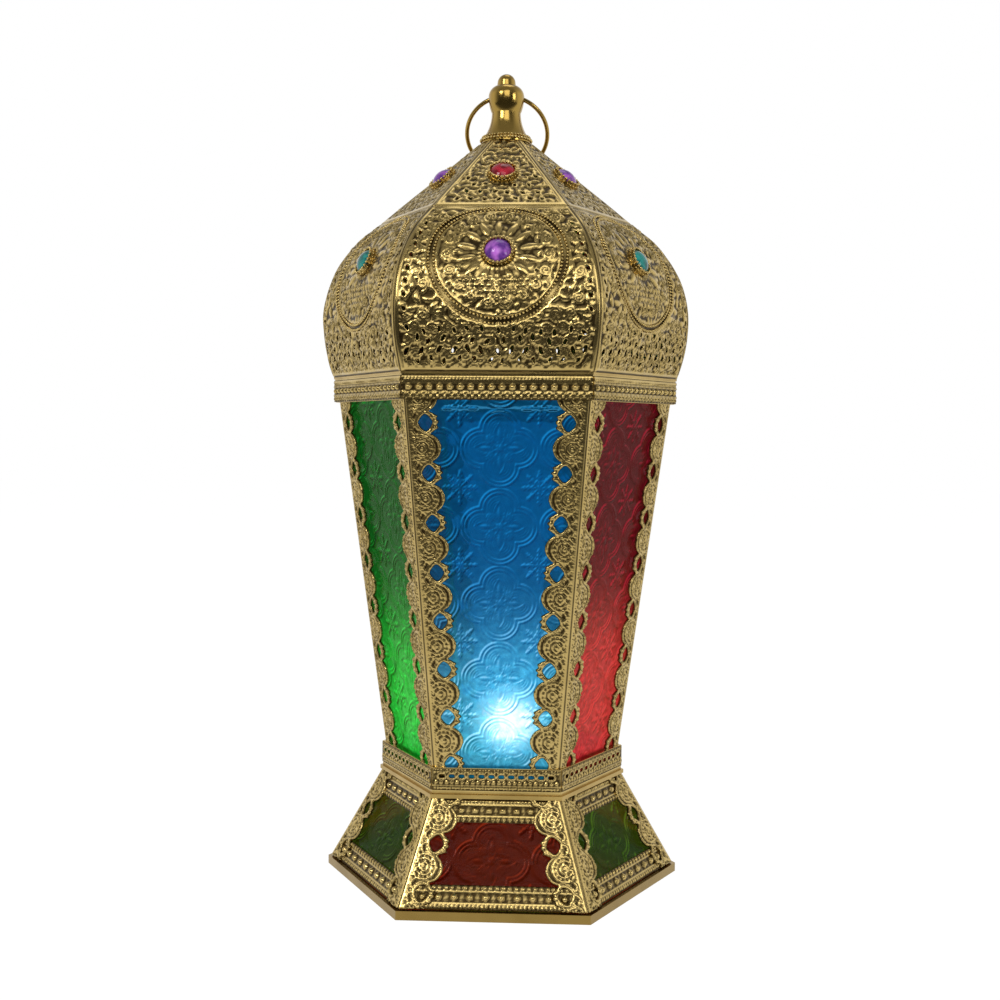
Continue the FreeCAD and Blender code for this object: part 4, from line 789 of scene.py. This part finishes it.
def petal_field(s, t):
    """Relief and cut line of a dome petal: s across it, t up its middle line."""
    y = t - DOME_GEM
    rib = DOME.half(t) - np.abs(s)
    inside = petal_holes(s, t)
    ring = np.hypot(s, y + MEDALLION_DROP)
    lift = np.where(ring < MEDALLION - 2.1, medallion(s, y), 1.15 * foliage(s, t, 4.0))
    lift = np.where(np.abs(ring - MEDALLION) < 2.2, 0.0, lift)
    lift = highest(lift, *(0.6 * ridge(ring, radius, 0.34)
                           for radius in (MEDALLION - MEDALLION_BAND, MEDALLION + MEDALLION_BAND)))
    coils, covered = strewn_coils(s, t)
    lift = np.where(covered & (ring > MEDALLION + 2.4) & (rib > 3.4), 0.85 * coils, lift)
    lift = np.maximum(lift, 0.6 * ridge(inside, 0.45, 0.36))
    hems = 0.5 * highest(ridge(rib, 0.9, 0.5), ridge(t, 1.3, 0.5), ridge(t, CROWN_FOOT - 0.9, 0.45),
                         ridge(t, CROWN_FOOT - 2.3, 0.35))
    lift = np.where((rib < 1.7) | (t < 2.1) | (t > CROWN_FOOT - 2.8), hems, lift)
    swell = 0.25 * np.sin(s * 0.31 + 1.0) * np.sin(t * 0.27 + 0.6)
    edges = np.clip(np.minimum(rib, np.minimum(t, CROWN_FOOT - t)) / 1.2, 0, 1)
    return (lift + swell) * edges * np.clip((np.hypot(s, y) - GEM_CLEAR) / 0.5, 0, 1), inside


def crown_field(s, t):
    """Relief and cut line of a crown petal, measured as on a dome petal."""
    y = t - CROWN_GEM
    r = np.hypot(s, y)
    rib = DOME.half(t) - np.abs(s)
    inside = np.where(r > 9.5, pierced_rows(s, t, DOME.crown_z, CROWN_LEAVES, 7), UNPIERCED)
    lift = 0.95 * foliage(s, t, 3.2)
    lift = np.where(r < 12.0, np.maximum(rosette(s, y, 12, 7.8, 11.4, 1.15), 0.25 * lift), lift)
    lift = np.maximum(lift, 0.55 * ridge(inside, 0.45, 0.36))
    border = 0.4 * np.maximum(ridge(rib, 0.8, 0.45), 0.8 * ridge(rib, 1.9, 0.3))
    foot = 0.5 * np.maximum(ridge(t, CROWN_FOOT + 0.8, 0.45), ridge(t, CROWN_FOOT + 2.0, 0.3))
    lift = np.where((rib < 2.2) | (t < CROWN_FOOT + 2.4), np.maximum(border, foot), lift)
    edges = np.clip(np.minimum(rib, np.minimum(t - CROWN_FOOT, CROWN_TOP - t)) / 1.0, 0, 1)
    return lift * edges * np.clip((r - GEM_CLEAR) / 0.5, 0, 1), inside


def petal_sheet(low, high, cell, field):
    t = np.linspace(low, high, int((high - low) / cell))
    half = DOME.half(t)
    return Sheet(*fanned(t, half, int(2 * half.max() / cell)), field, DOME.gauge, PETAL_HOLLOW)


def make_dome():
    """Six dome petals and six crown petals, each on its own side."""
    petal = petal_sheet(0.0, CROWN_FOOT, PETAL_CELL, petal_field)
    crown = petal_sheet(CROWN_FOOT, CROWN_TOP, CROWN_CELL, crown_field)
    for index, side in enumerate(SIDES):
        for kind, sheet in (("dome", petal), ("crown", crown)):
            pressed_piece(f"{kind}_pressed_{side}", [(sheet, DOME.place(index))], "root",
                          f"{kind}_petal_{side}")


# Embossed panes

QUATREFOIL_PITCH, LOBE_PLACE, LOBE_RADIUS = 30.75, 7.1, 8.1
PRESS_DEPTH = 0.42
PANE_MARGIN, PANE_DEPTH, PANE_LAP = 2.6, 2 * SHEET + 0.2, 1.0
BASE_PANE_INSET, DOOR_PANE_INSET, DOOR_PANE_MARGIN = 3.0, 2.0, 4.6
FRONT_CELL, PANE_CELL, SMALL_PANE_CELL = 0.46, 0.6, 0.55

# Where a quatrefoil's middle lies on each pane: to the right and up
PRESS_MIDDLES = ((1.0, 182.7), (-7.0, 176.0), (6.0, 188.0), (3.0, 180.0), (-5.0, 171.0), (8.0, 185.0))
BASE_PRESS_MIDDLE = (-1.0, 21.0)


def glass_press(u, v):
    """Pressed quatrefoils on a square lattice with sprigs between them, 0 to about 1."""
    half = QUATREFOIL_PITCH / 2
    x, y = ((way + half) % QUATREFOIL_PITCH - half for way in (u, v))
    a, b = np.abs(x), np.abs(y)
    lobes = np.minimum(np.hypot(a - LOBE_PLACE, y), np.hypot(x, b - LOBE_PLACE)) - LOBE_RADIUS
    forms = [ridge(lobes, -0.4, 0.42), 0.8 * ridge(lobes, -1.8, 0.4)]
    forms += [0.4 * ridge(lobes, depth, 0.3) for depth in (-3.4, -4.4, -5.4)]
    for along, across in ((a, y), (b, x)):
        forms.append(0.9 * np.clip(-leaf(across, along - 5.2, 1.25, 3.4) / 1.25, 0, 1))
        forms.append(0.6 * ridge(leaf(across, along - 5.4, 2.1, 4.6), 0, 0.3))
    forms += [0.8 * scroll(a - 3.6, b - 3.6, 1.7, 1, 0.3), 0.9 * dot(x, y, 1.3)]
    p, q = half - a, half - b
    r, angle = np.hypot(p, q), np.arctan2(q, p)
    offset = (angle + np.pi / 8) % (np.pi / 4) - np.pi / 8
    arm, along = np.abs(r * np.sin(offset)), r * np.cos(offset)
    barbs = (0.5 + 0.5 * np.cos(2 * np.pi * (along - 1.2 * arm) / 1.7)) * (arm < 1.3 - 0.1 * along)
    sprig = np.maximum(ridge(arm, 0, 0.34), 0.8 * barbs) * np.clip((7.2 - r) / 0.8, 0, 1)
    return highest(*forms, sprig)


def pane_faces(rows, columns):
    """Quads of the front grid, then four walls and the back on four points after the grid's."""
    number = np.arange(rows * columns).reshape(rows, columns)
    corners = number[:-1, :-1], number[:-1, 1:], number[1:, 1:], number[1:, :-1]
    quads = np.stack([corner.ravel() for corner in corners], 1).tolist()
    back = rows * columns
    runs = number[0], number[:, -1], number[-1, ::-1], number[::-1, 0]
    walls = [[*run[::-1].tolist(), back + side, back + (side + 1) % 4] for side, run in enumerate(runs)]
    return quads + walls + [[back + 3, back + 2, back + 1, back]], len(quads)


def frame_slot(node):
    return next(part["material_slot"] for part in frame["record"]["subparts"] if part["node"] == node)


def make_pane(name, slope, index, low, high, margin, depth, middle, cell):
    right, up, out = slope.axes(index)
    start = slope.middle(index, low) - out * depth
    length = (high - low) * slope.stretch
    rows = int(length / cell)
    columns = int((slope.radius(high) + slope.radius(low)) / 2 / cell)
    v = np.linspace(0, length, rows)
    level = low + v / slope.stretch
    half = slope.radius(level) / 2 - margin
    u, v = fanned(v, half, columns)
    press = glass_press(u - middle[0], v + (low - middle[1]) * slope.stretch)
    relief = PRESS_DEPTH * (press - 1) + 0.03 * np.sin(u * 0.5) * np.sin(v * 0.43)
    relief -= relief.max()
    front = start + u[..., None] * right + v[..., None] * up + relief[..., None] * out
    back_u = np.array([-half[0], half[0], half[-1], -half[-1]])
    back_v = np.array([0, 0, length, length])
    back = start - out * GLASS + back_u[:, None] * right + back_v[:, None] * up
    faces, quads = pane_faces(rows, columns)
    slot, on_door = frame_slot(name), name == "door_pane"
    piece = mesh_piece(f"glass_{name}", np.concatenate([front.reshape(-1, 3), back]), faces,
                       PANE_GLASS["glass_blue_door" if on_door else slot], np.arange(len(faces)) < quads)
    # Painted shading of the pattern: lighter where its slope faces the light, and darkened to none at the
    # foot of the body's panes
    flank = np.gradient(press, axis=1) * 0.6 - np.gradient(press, axis=0)
    lit = np.clip(0.5 + 0.9 * flank, 0, 1)
    if slope is BODY:
        lit *= np.clip((level - FOOT) / 0.8, 0, 1)[:, None]
    store(piece, "press", np.concatenate([press.ravel(), np.full(4, 0.3)]))
    store(piece, "lit", np.concatenate([lit.ravel(), np.full(4, 0.5)]))
    uv = np.concatenate([
        np.stack([(u / half.max() + 1) / 2 * MAP_FRONT, v / length], -1).reshape(-1, 2),
        np.array([[MAP_BACK, 0], [1, 0], [1, 1], [MAP_BACK, 1]])])
    bake_map(piece, uv[np.concatenate([np.asarray(face) for face in faces])])
    seat(piece, "door" if on_door else "root", slot, name)


def make_glass():
    """Panes of the body and of the base on every side, and the door's."""
    inset = BASE_PANE_INSET / BASE.stretch
    for index, side in enumerate(SIDES):
        if index != DOOR:
            make_pane(f"pane_{side}", BODY, index, FLOOR + PANE_LAP, SEAT - PANE_LAP, PANE_MARGIN,
                      PANE_DEPTH, PRESS_MIDDLES[index], FRONT_CELL if side == "front" else PANE_CELL)
        make_pane(f"base_pane_{side}", BASE, index, RIM_TOP + inset, NECK - inset, PANE_MARGIN,
                  PANE_DEPTH, BASE_PRESS_MIDDLE, SMALL_PANE_CELL)
    inset = DOOR_END_GAP + DOOR_PANE_INSET / BODY.stretch
    make_pane("door_pane", BODY, DOOR, FOOT + inset, HEAD - inset, DOOR_PANE_MARGIN, SHEET,
              PRESS_MIDDLES[DOOR], SMALL_PANE_CELL)


# Beads, set on points by Geometry Nodes

def bead_tree():
    """Points in; out of them beads that face outwards, as one mesh."""
    group = bpy.data.node_groups.new("beads", "GeometryNodeTree")
    kinds = {"Points": "Geometry", "Segments": "Int", "Rings": "Int", "Height": "Float", "Finish": "Material"}
    sockets = {name: group.interface.new_socket(name, socket_type="NodeSocket" + kind).identifier
               for name, kind in kinds.items()}
    group.interface.new_socket("Beads", in_out="OUTPUT", socket_type="NodeSocketGeometry")
    tree = Nodes(group)
    points = tree.node("NodeGroupInput", output="Points")
    segments, rings, height, finish = (points.beside(name) for name in list(kinds)[1:])
    facing, radius = (
        tree.node("GeometryNodeInputNamedAttribute", {"data_type": kind}, {"Name": name}, "Attribute")
        for name, kind in (("facing", "FLOAT_VECTOR"), ("radius", "FLOAT")))
    ball = tree.node("GeometryNodeMeshUVSphere", None, {"Segments": segments, "Rings": rings, "Radius": 1.0})
    turn = tree.node("FunctionNodeAlignRotationToVector", {"axis": "Z"}, {"Vector": facing})
    scale = tree.node("ShaderNodeCombineXYZ", None, {"X": radius, "Y": radius, "Z": radius * height})
    copies = tree.node("GeometryNodeInstanceOnPoints", None,
                       {"Points": points, "Instance": ball, "Rotation": turn, "Scale": scale})
    beads = tree.node("GeometryNodeRealizeInstances", None, {"Geometry": copies})
    beads = tree.node("GeometryNodeSetShadeSmooth", None, {"Geometry": beads})
    beads = tree.node("GeometryNodeSetMaterial", None, {"Geometry": beads, "Material": finish})
    tree.end("NodeGroupOutput", "Beads", beads)
    return group, sockets


BEADS, BEAD_SOCKETS = bead_tree()
BEAD_SEGMENTS, BEAD_RINGS = 7, 5


class Beads:
    """Places for beads, gathered and then made as one piece."""

    def __init__(self):
        self.points, self.facing, self.radii = [], [], []

    def add(self, point, facing, radius):
        self.points.append(np.asarray(point) * MM)
        self.facing.append(np.asarray(facing))
        self.radii.append(radius * MM)

    def make(self, name, height):
        mesh = bpy.data.meshes.new(name + "_points")
        mesh.from_pydata([tuple(p) for p in self.points], [], [])
        mesh.attributes.new("facing", "FLOAT_VECTOR", "POINT").data.foreach_set(
            "vector", np.asarray(self.facing, np.float32).ravel())
        holder = show_object(name + "_points", mesh)
        store(holder, "radius", self.radii)
        modifier = holder.modifiers.new("beads", "NODES")
        modifier.node_group = BEADS
        for key, given in (("Segments", BEAD_SEGMENTS), ("Rings", BEAD_RINGS), ("Height", height),
                           ("Finish", BRASS_PRESSED)):
            modifier[BEAD_SOCKETS[key]] = given
        bpy.context.view_layer.update()
        graph = bpy.context.evaluated_depsgraph_get()
        made = bpy.data.meshes.new_from_object(holder.evaluated_get(graph))
        bpy.data.objects.remove(holder)
        made.name = name
        seat(show_object(name, made), "root", "brass_lace")


# Bands: corner radius, lower and upper edge of the strip
UPPER_BAND, LOWER_BAND = (72.9, 201.6, 210.8), (51.7, 45.8, 54.5)
BAND_GAUGE, BAND_SEAM = 0.3, 0.25
BASE_STRIP, BASE_STRIP_MARGIN = 9.4, 4.35
OVAL_PITCH, STRIP_CELL = LOWER_BAND[0] / 13, 0.45

# Rows along a strip: level, form, size and number
UPPER_ROWS = ((0.9, "scallop", 0.7, 27), (2.7, "cord", 0.45, 54), (4.6, "bead", 1.25, 18),
              (6.4, "cord", 0.4, 54), (7.3, "bead", 0.6, 54), (8.4, "cord", 0.4, 54))
LOWER_ROWS = ((1.0, "bead", 0.55, 42), (2.1, "cord", 0.35, 42), (3.3, "bead", 0.75, 24),
              (5.7, "oval", 0.5, 12), (7.7, "bead", 0.55, 42))
BASE_LOW_ROWS = ((1.2, "bead", 0.6, 38), (2.4, "cord", 0.4, 38), (4.7, "bead", 1.35, 10),
                 (7.0, "cord", 0.4, 24), (8.3, "bead", 0.75, 24))
BASE_HIGH_ROWS = ((1.2, "bead", 0.75, 20), (2.5, "cord", 0.4, 20), (4.7, "bead", 1.25, 8),
                  (7.0, "cord", 0.4, 30), (8.2, "bead", 0.6, 30))


def strip_field(rows, half):
    """Relief of a strip's rows. half gives half the strip's length at a level."""
    def field(s, t):
        lift = 0.07 * stipple(s, t, 1.0)
        inside = np.ones(s.shape)
        for level, form, size, count in rows:
            pitch = OVAL_PITCH if form == "oval" else 2 * (half(level) - 0.6) / count
            place = np.clip(np.floor(s / pitch + count / 2), 0, count - 1) - count / 2 + 0.5
            x, y = s - place * pitch, t - level
            if form == "bead":
                raised = size * dot(x, y, size)
            elif form == "cord":
                raised = size * ridge(y, 0, size) * (0.8 + 0.2 * np.cos(2 * np.pi * x / pitch))
            elif form == "scallop":
                arch = ridge(np.hypot(x, y), 0.42 * pitch, 0.26) * (y > -0.3)
                raised = size * np.maximum(arch, dot(x, y, 0.2 * pitch))
            else:
                oval = np.hypot(np.clip(np.abs(x) - size, 0, None), y) - 0.7
                raised = 0.45 * ridge(oval, 0.4, 0.35)
                inside = np.minimum(inside, oval)
            lift = np.maximum(lift, raised)
        return lift, inside
    return field


def strip_sheet(middle, right, up, out, height, half, rows, gauge):
    """A pressed strip that stands on a side, from its lower edge up."""
    t = np.linspace(0, height, int(height / STRIP_CELL))

    def place(x, y, lift):
        return middle + np.outer(x, right) + np.outer(y, up) + np.outer(lift, out)
    grid = fanned(t, half(t), int(2 * half(height / 2) / STRIP_CELL))
    return Sheet(*grid, strip_field(rows, half), gauge, LACE_HOLLOW), place


def band_strips(radius, low, high, rows):
    """Six strips that stand upright round a band."""
    flat = radius * COS30 + BAND_GAUGE

    def half(level):
        return flat * TAN30 - BAND_SEAM + 0 * level
    return [strip_sheet(spun(index) @ np.array([0, -flat, low]), spun(index)[:, 0], UP, -spun(index)[:, 1],
                        high - low, half, rows, BAND_GAUGE) for index in range(6)]


def base_strips(low, rows):
    """Six strips that lean with the base's sides."""
    def half(level):
        return BASE.radius(low + level / BASE.stretch) / 2 - BASE_STRIP_MARGIN
    for index in range(6):
        right, up, out = BASE.axes(index)
        middle = BASE.middle(index, low) - out * SHEET
        yield strip_sheet(middle, right, up, out, BASE_STRIP, half, rows, SHEET)


def make_strips():
    """Pressed strips on the two bands and above and below the base panes."""
    for name, band, rows in (("upper", UPPER_BAND, UPPER_ROWS), ("lower", LOWER_BAND, LOWER_ROWS)):
        pressed_piece(f"{name}_band_strip", band_strips(*band, rows), "root")
    high = NECK - BASE_STRIP / BASE.stretch
    pairs = zip(base_strips(BASE_FOOT, BASE_LOW_ROWS), base_strips(high, BASE_HIGH_ROWS))
    pressed_piece("base_strips", [strip for pair in pairs for strip in pair], "root", "base_bead_strips")


# Rings of beads. Medallion: radius and number. Bezel: lift, radius and bead. Finial: level, radius and bead
MEDALLION_RINGS = ((MEDALLION - 0.95, 104), (MEDALLION + 0.95, 112))
MEDALLION_BEAD, MEDALLION_END = 0.6, 1.5
BEZEL_TOP, BEZEL_FOOT, BEZEL_COUNT = (2.1, 5.6, 0.55), (0.8, 6.0, 0.4), 24
FINIAL_RINGS, FINIAL_COUNT = ((312.2, 10.5, 0.75), (313.5, 9.9, 0.55)), 44


def medallion_ring(beads, put, radius, count):
    angle = np.arange(count) / count * 2 * np.pi
    s, t = radius * np.sin(angle), DOME_GEM - MEDALLION_DROP + radius * np.cos(angle)
    keep = t < CROWN_FOOT - MEDALLION_END
    low, high = (put(s[keep], t[keep], np.full(keep.sum(), lift)) for lift in (0.3, 1.3))
    for point, out in zip(low, high - low):
        beads.add(point, out, MEDALLION_BEAD)


def bezel_rings(beads, put, right, level):
    middle, higher = (put(np.zeros(1), np.full(1, level), np.full(1, lift))[0] for lift in (0.0, 1.0))
    out = higher - middle
    up = np.cross(out, right)
    for angle in np.arange(BEZEL_COUNT) / BEZEL_COUNT * 2 * np.pi:
        way = right * math.cos(angle) + up * math.sin(angle)
        for (lift, radius, bead), facing in ((BEZEL_TOP, out), (BEZEL_FOOT, way)):
            beads.add(middle + out * lift + way * radius, facing, bead)


def make_beads():
    """Bead rings round the medallions, the gems and the foot of the finial."""
    arcs, rims = Beads(), Beads()
    for index in range(6):
        put = DOME.place(index)
        for ring in MEDALLION_RINGS:
            medallion_ring(arcs, put, *ring)
        for level in (DOME_GEM, CROWN_GEM):
            bezel_rings(rims, put, spun(index)[:, 0], level)
    for number in range(FINIAL_COUNT):
        way = heading(360 * number / FINIAL_COUNT)
        for level, radius, bead in FINIAL_RINGS:
            rims.add(way * radius + UP * level, way, bead)
    arcs.make("medallion_beads", 0.9)
    rims.make("bezel_beads", 1.0)


def dress_frame():
    """Finishes of the CAD pieces that stay in sight."""
    looks = {
        "brass_plain": BRASS_PLAIN,
        "brass_lace": BRASS_PRESSED,
        "brass_turned": BRASS_TURNED,
        "gem_purple": gem_glass("gem_purple", (0.09, 0.025, 0.20, 1), (0.46, 0.14, 0.58, 1)),
        "gem_teal": gem_glass("gem_teal", (0.004, 0.08, 0.07, 1), (0.03, 0.30, 0.26, 1)),
        "gem_red": gem_glass("gem_red", (0.12, 0.004, 0.008, 1), (0.45, 0.02, 0.04, 1)),
        "light_plastic": moulded("light_plastic", (0.86, 0.85, 0.82, 1), (0.78, 0.77, 0.74, 1), 0.35),
        "flame_plastic": lit_lens("flame_lens"),
        "switch_plastic": moulded("switch_plastic", (0.03, 0.03, 0.03, 1), (0.05, 0.05, 0.05, 1), 0.5),
        **PANE_GLASS,
    }
    for part in frame["record"]["subparts"]:
        mesh = frame["nodes"][part["node"]].data
        mesh.materials.clear()
        # The base rim takes the darker brass, which is painted shade
        mesh.materials.append(BRASS_RIM_SHADED if part["node"] == "base_rim" else looks[part["material_slot"]])


FLOOR_HALF = 4000

# Lamps: place in metres, size and power
LAMPS = {
    "key": ((-0.75, -1.15, 0.95), 0.45, 7.0),
    "fill": ((1.1, -0.8, 0.5), 0.36, 2.2),
    "front": ((0.1, -0.95, 0.74), 0.6, 2.6),
    "top": ((0.1, 0.3, 1.5), 0.6, 1.5),
}
LAMP_AIM = np.array([0, 0, 0.18])

# Camera: metres, radians, and the focal length in picture widths
EYE_DISTANCE, EYE_HEIGHT, EYE_AZIMUTH = 0.5615, 0.18914, 0.0445
EYE_PITCH, EYE_YAW, EYE_ROLL = -0.0517, -0.0026, 0.0075
SENSOR, FOCAL_WIDTHS = 36.0, 1.30814


def floor_finish():
    """Pale floor that keeps the lantern's shadow, melts into the backdrop and mirrors dark in front."""
    finish = Finish("floor")
    camera, glossy, through = finish.rays("Camera", "Glossy", "Transmission")
    depth = finish.node("ShaderNodeSeparateXYZ", None, {"Vector": finish.place()}, "Y")
    sweep = 0.04 + depth.between(-0.62, -0.26) * 0.93
    seen = camera.most(through)
    matt = finish.node("ShaderNodeBsdfDiffuse", None, {"Color": (0.86, 0.86, 0.86, 1)})
    white = finish.node("ShaderNodeEmission", None,
                        {"Color": seen * 1.1 + (1 - seen) * sweep, "Strength": 1.0})
    return finish.show(finish.node("ShaderNodeMixShader", None,
                                   {0: (seen * 0.85).most(glossy * 0.97), 1: matt, 2: white}))


def make_floor():
    corners = [(x * FLOOR_HALF, y * FLOOR_HALF, 0) for x, y in ((-1, -1), (1, -1), (1, 1), (-1, 1))]
    mesh_piece("floor", corners, [(0, 1, 2, 3)], floor_finish())


def make_backdrop():
    """White to the eye and through glass. Metal mirrors it bright behind the lantern and dark in front."""
    world = bpy.data.worlds.new("studio")
    bpy.context.scene.world = world
    finish = Finish("studio", world)
    camera, glossy, through = finish.rays("Camera", "Glossy", "Transmission")
    direction = finish.node("ShaderNodeTexCoord", output="Generated")
    depth = finish.node("ShaderNodeSeparateXYZ", None, {"Vector": direction}, "Y")
    height = depth.beside("Z")
    backdrop = depth.between(-0.75, 0.05) * (1 - height.between(0.25, 0.9) * 0.6)
    backdrop = backdrop.most(height.between(0.1, 0.9) * 0.28)
    seen = camera.most(through)
    level = seen + (1 - seen) * (glossy * (0.06 + backdrop * 0.94) + (1 - glossy) * 0.5)
    finish.show(finish.node("ShaderNodeBackground", None, {"Color": level, "Strength": 1.0}))


def rigid(x, y, z, place):
    """A place with its three axes."""
    return Matrix([[x[i], y[i], z[i], place[i]] for i in range(3)] + [[0, 0, 0, 1]])


def make_lamps():
    for name, (place, size, power) in LAMPS.items():
        lamp = bpy.data.lights.new(name, "AREA")
        lamp.size, lamp.energy = size, power
        back = np.asarray(place) - LAMP_AIM
        back /= np.linalg.norm(back)
        side = np.cross(UP, back)
        side /= np.linalg.norm(side)
        show_object(name, lamp).matrix_world = rigid(side, np.cross(back, side), back, place)


def make_camera():
    """The camera at the photograph's viewpoint."""
    azimuth = math.degrees(EYE_AZIMUTH)
    right, ahead = heading(azimuth), heading(azimuth + 90)
    eye = UP * EYE_HEIGHT - ahead * EYE_DISTANCE
    ahead, right = turned(ahead, right, EYE_YAW)
    ahead, up = turned(ahead, UP, EYE_PITCH)
    right, up = turned(right, up, EYE_ROLL)
    lens = bpy.data.cameras.new("camera")
    lens.sensor_width, lens.lens = SENSOR, SENSOR * FOCAL_WIDTHS
    lens.clip_start = 0.01
    camera = show_object("camera", lens)
    camera.matrix_world = rigid(right, up, -ahead, eye)
    bpy.context.scene.camera = camera


dress_frame()
make_lace()
make_dome()
make_glass()
make_strips()
make_beads()
make_floor()
make_backdrop()
make_lamps()
make_camera()
bpy.context.scene.view_settings.view_transform = "Standard"
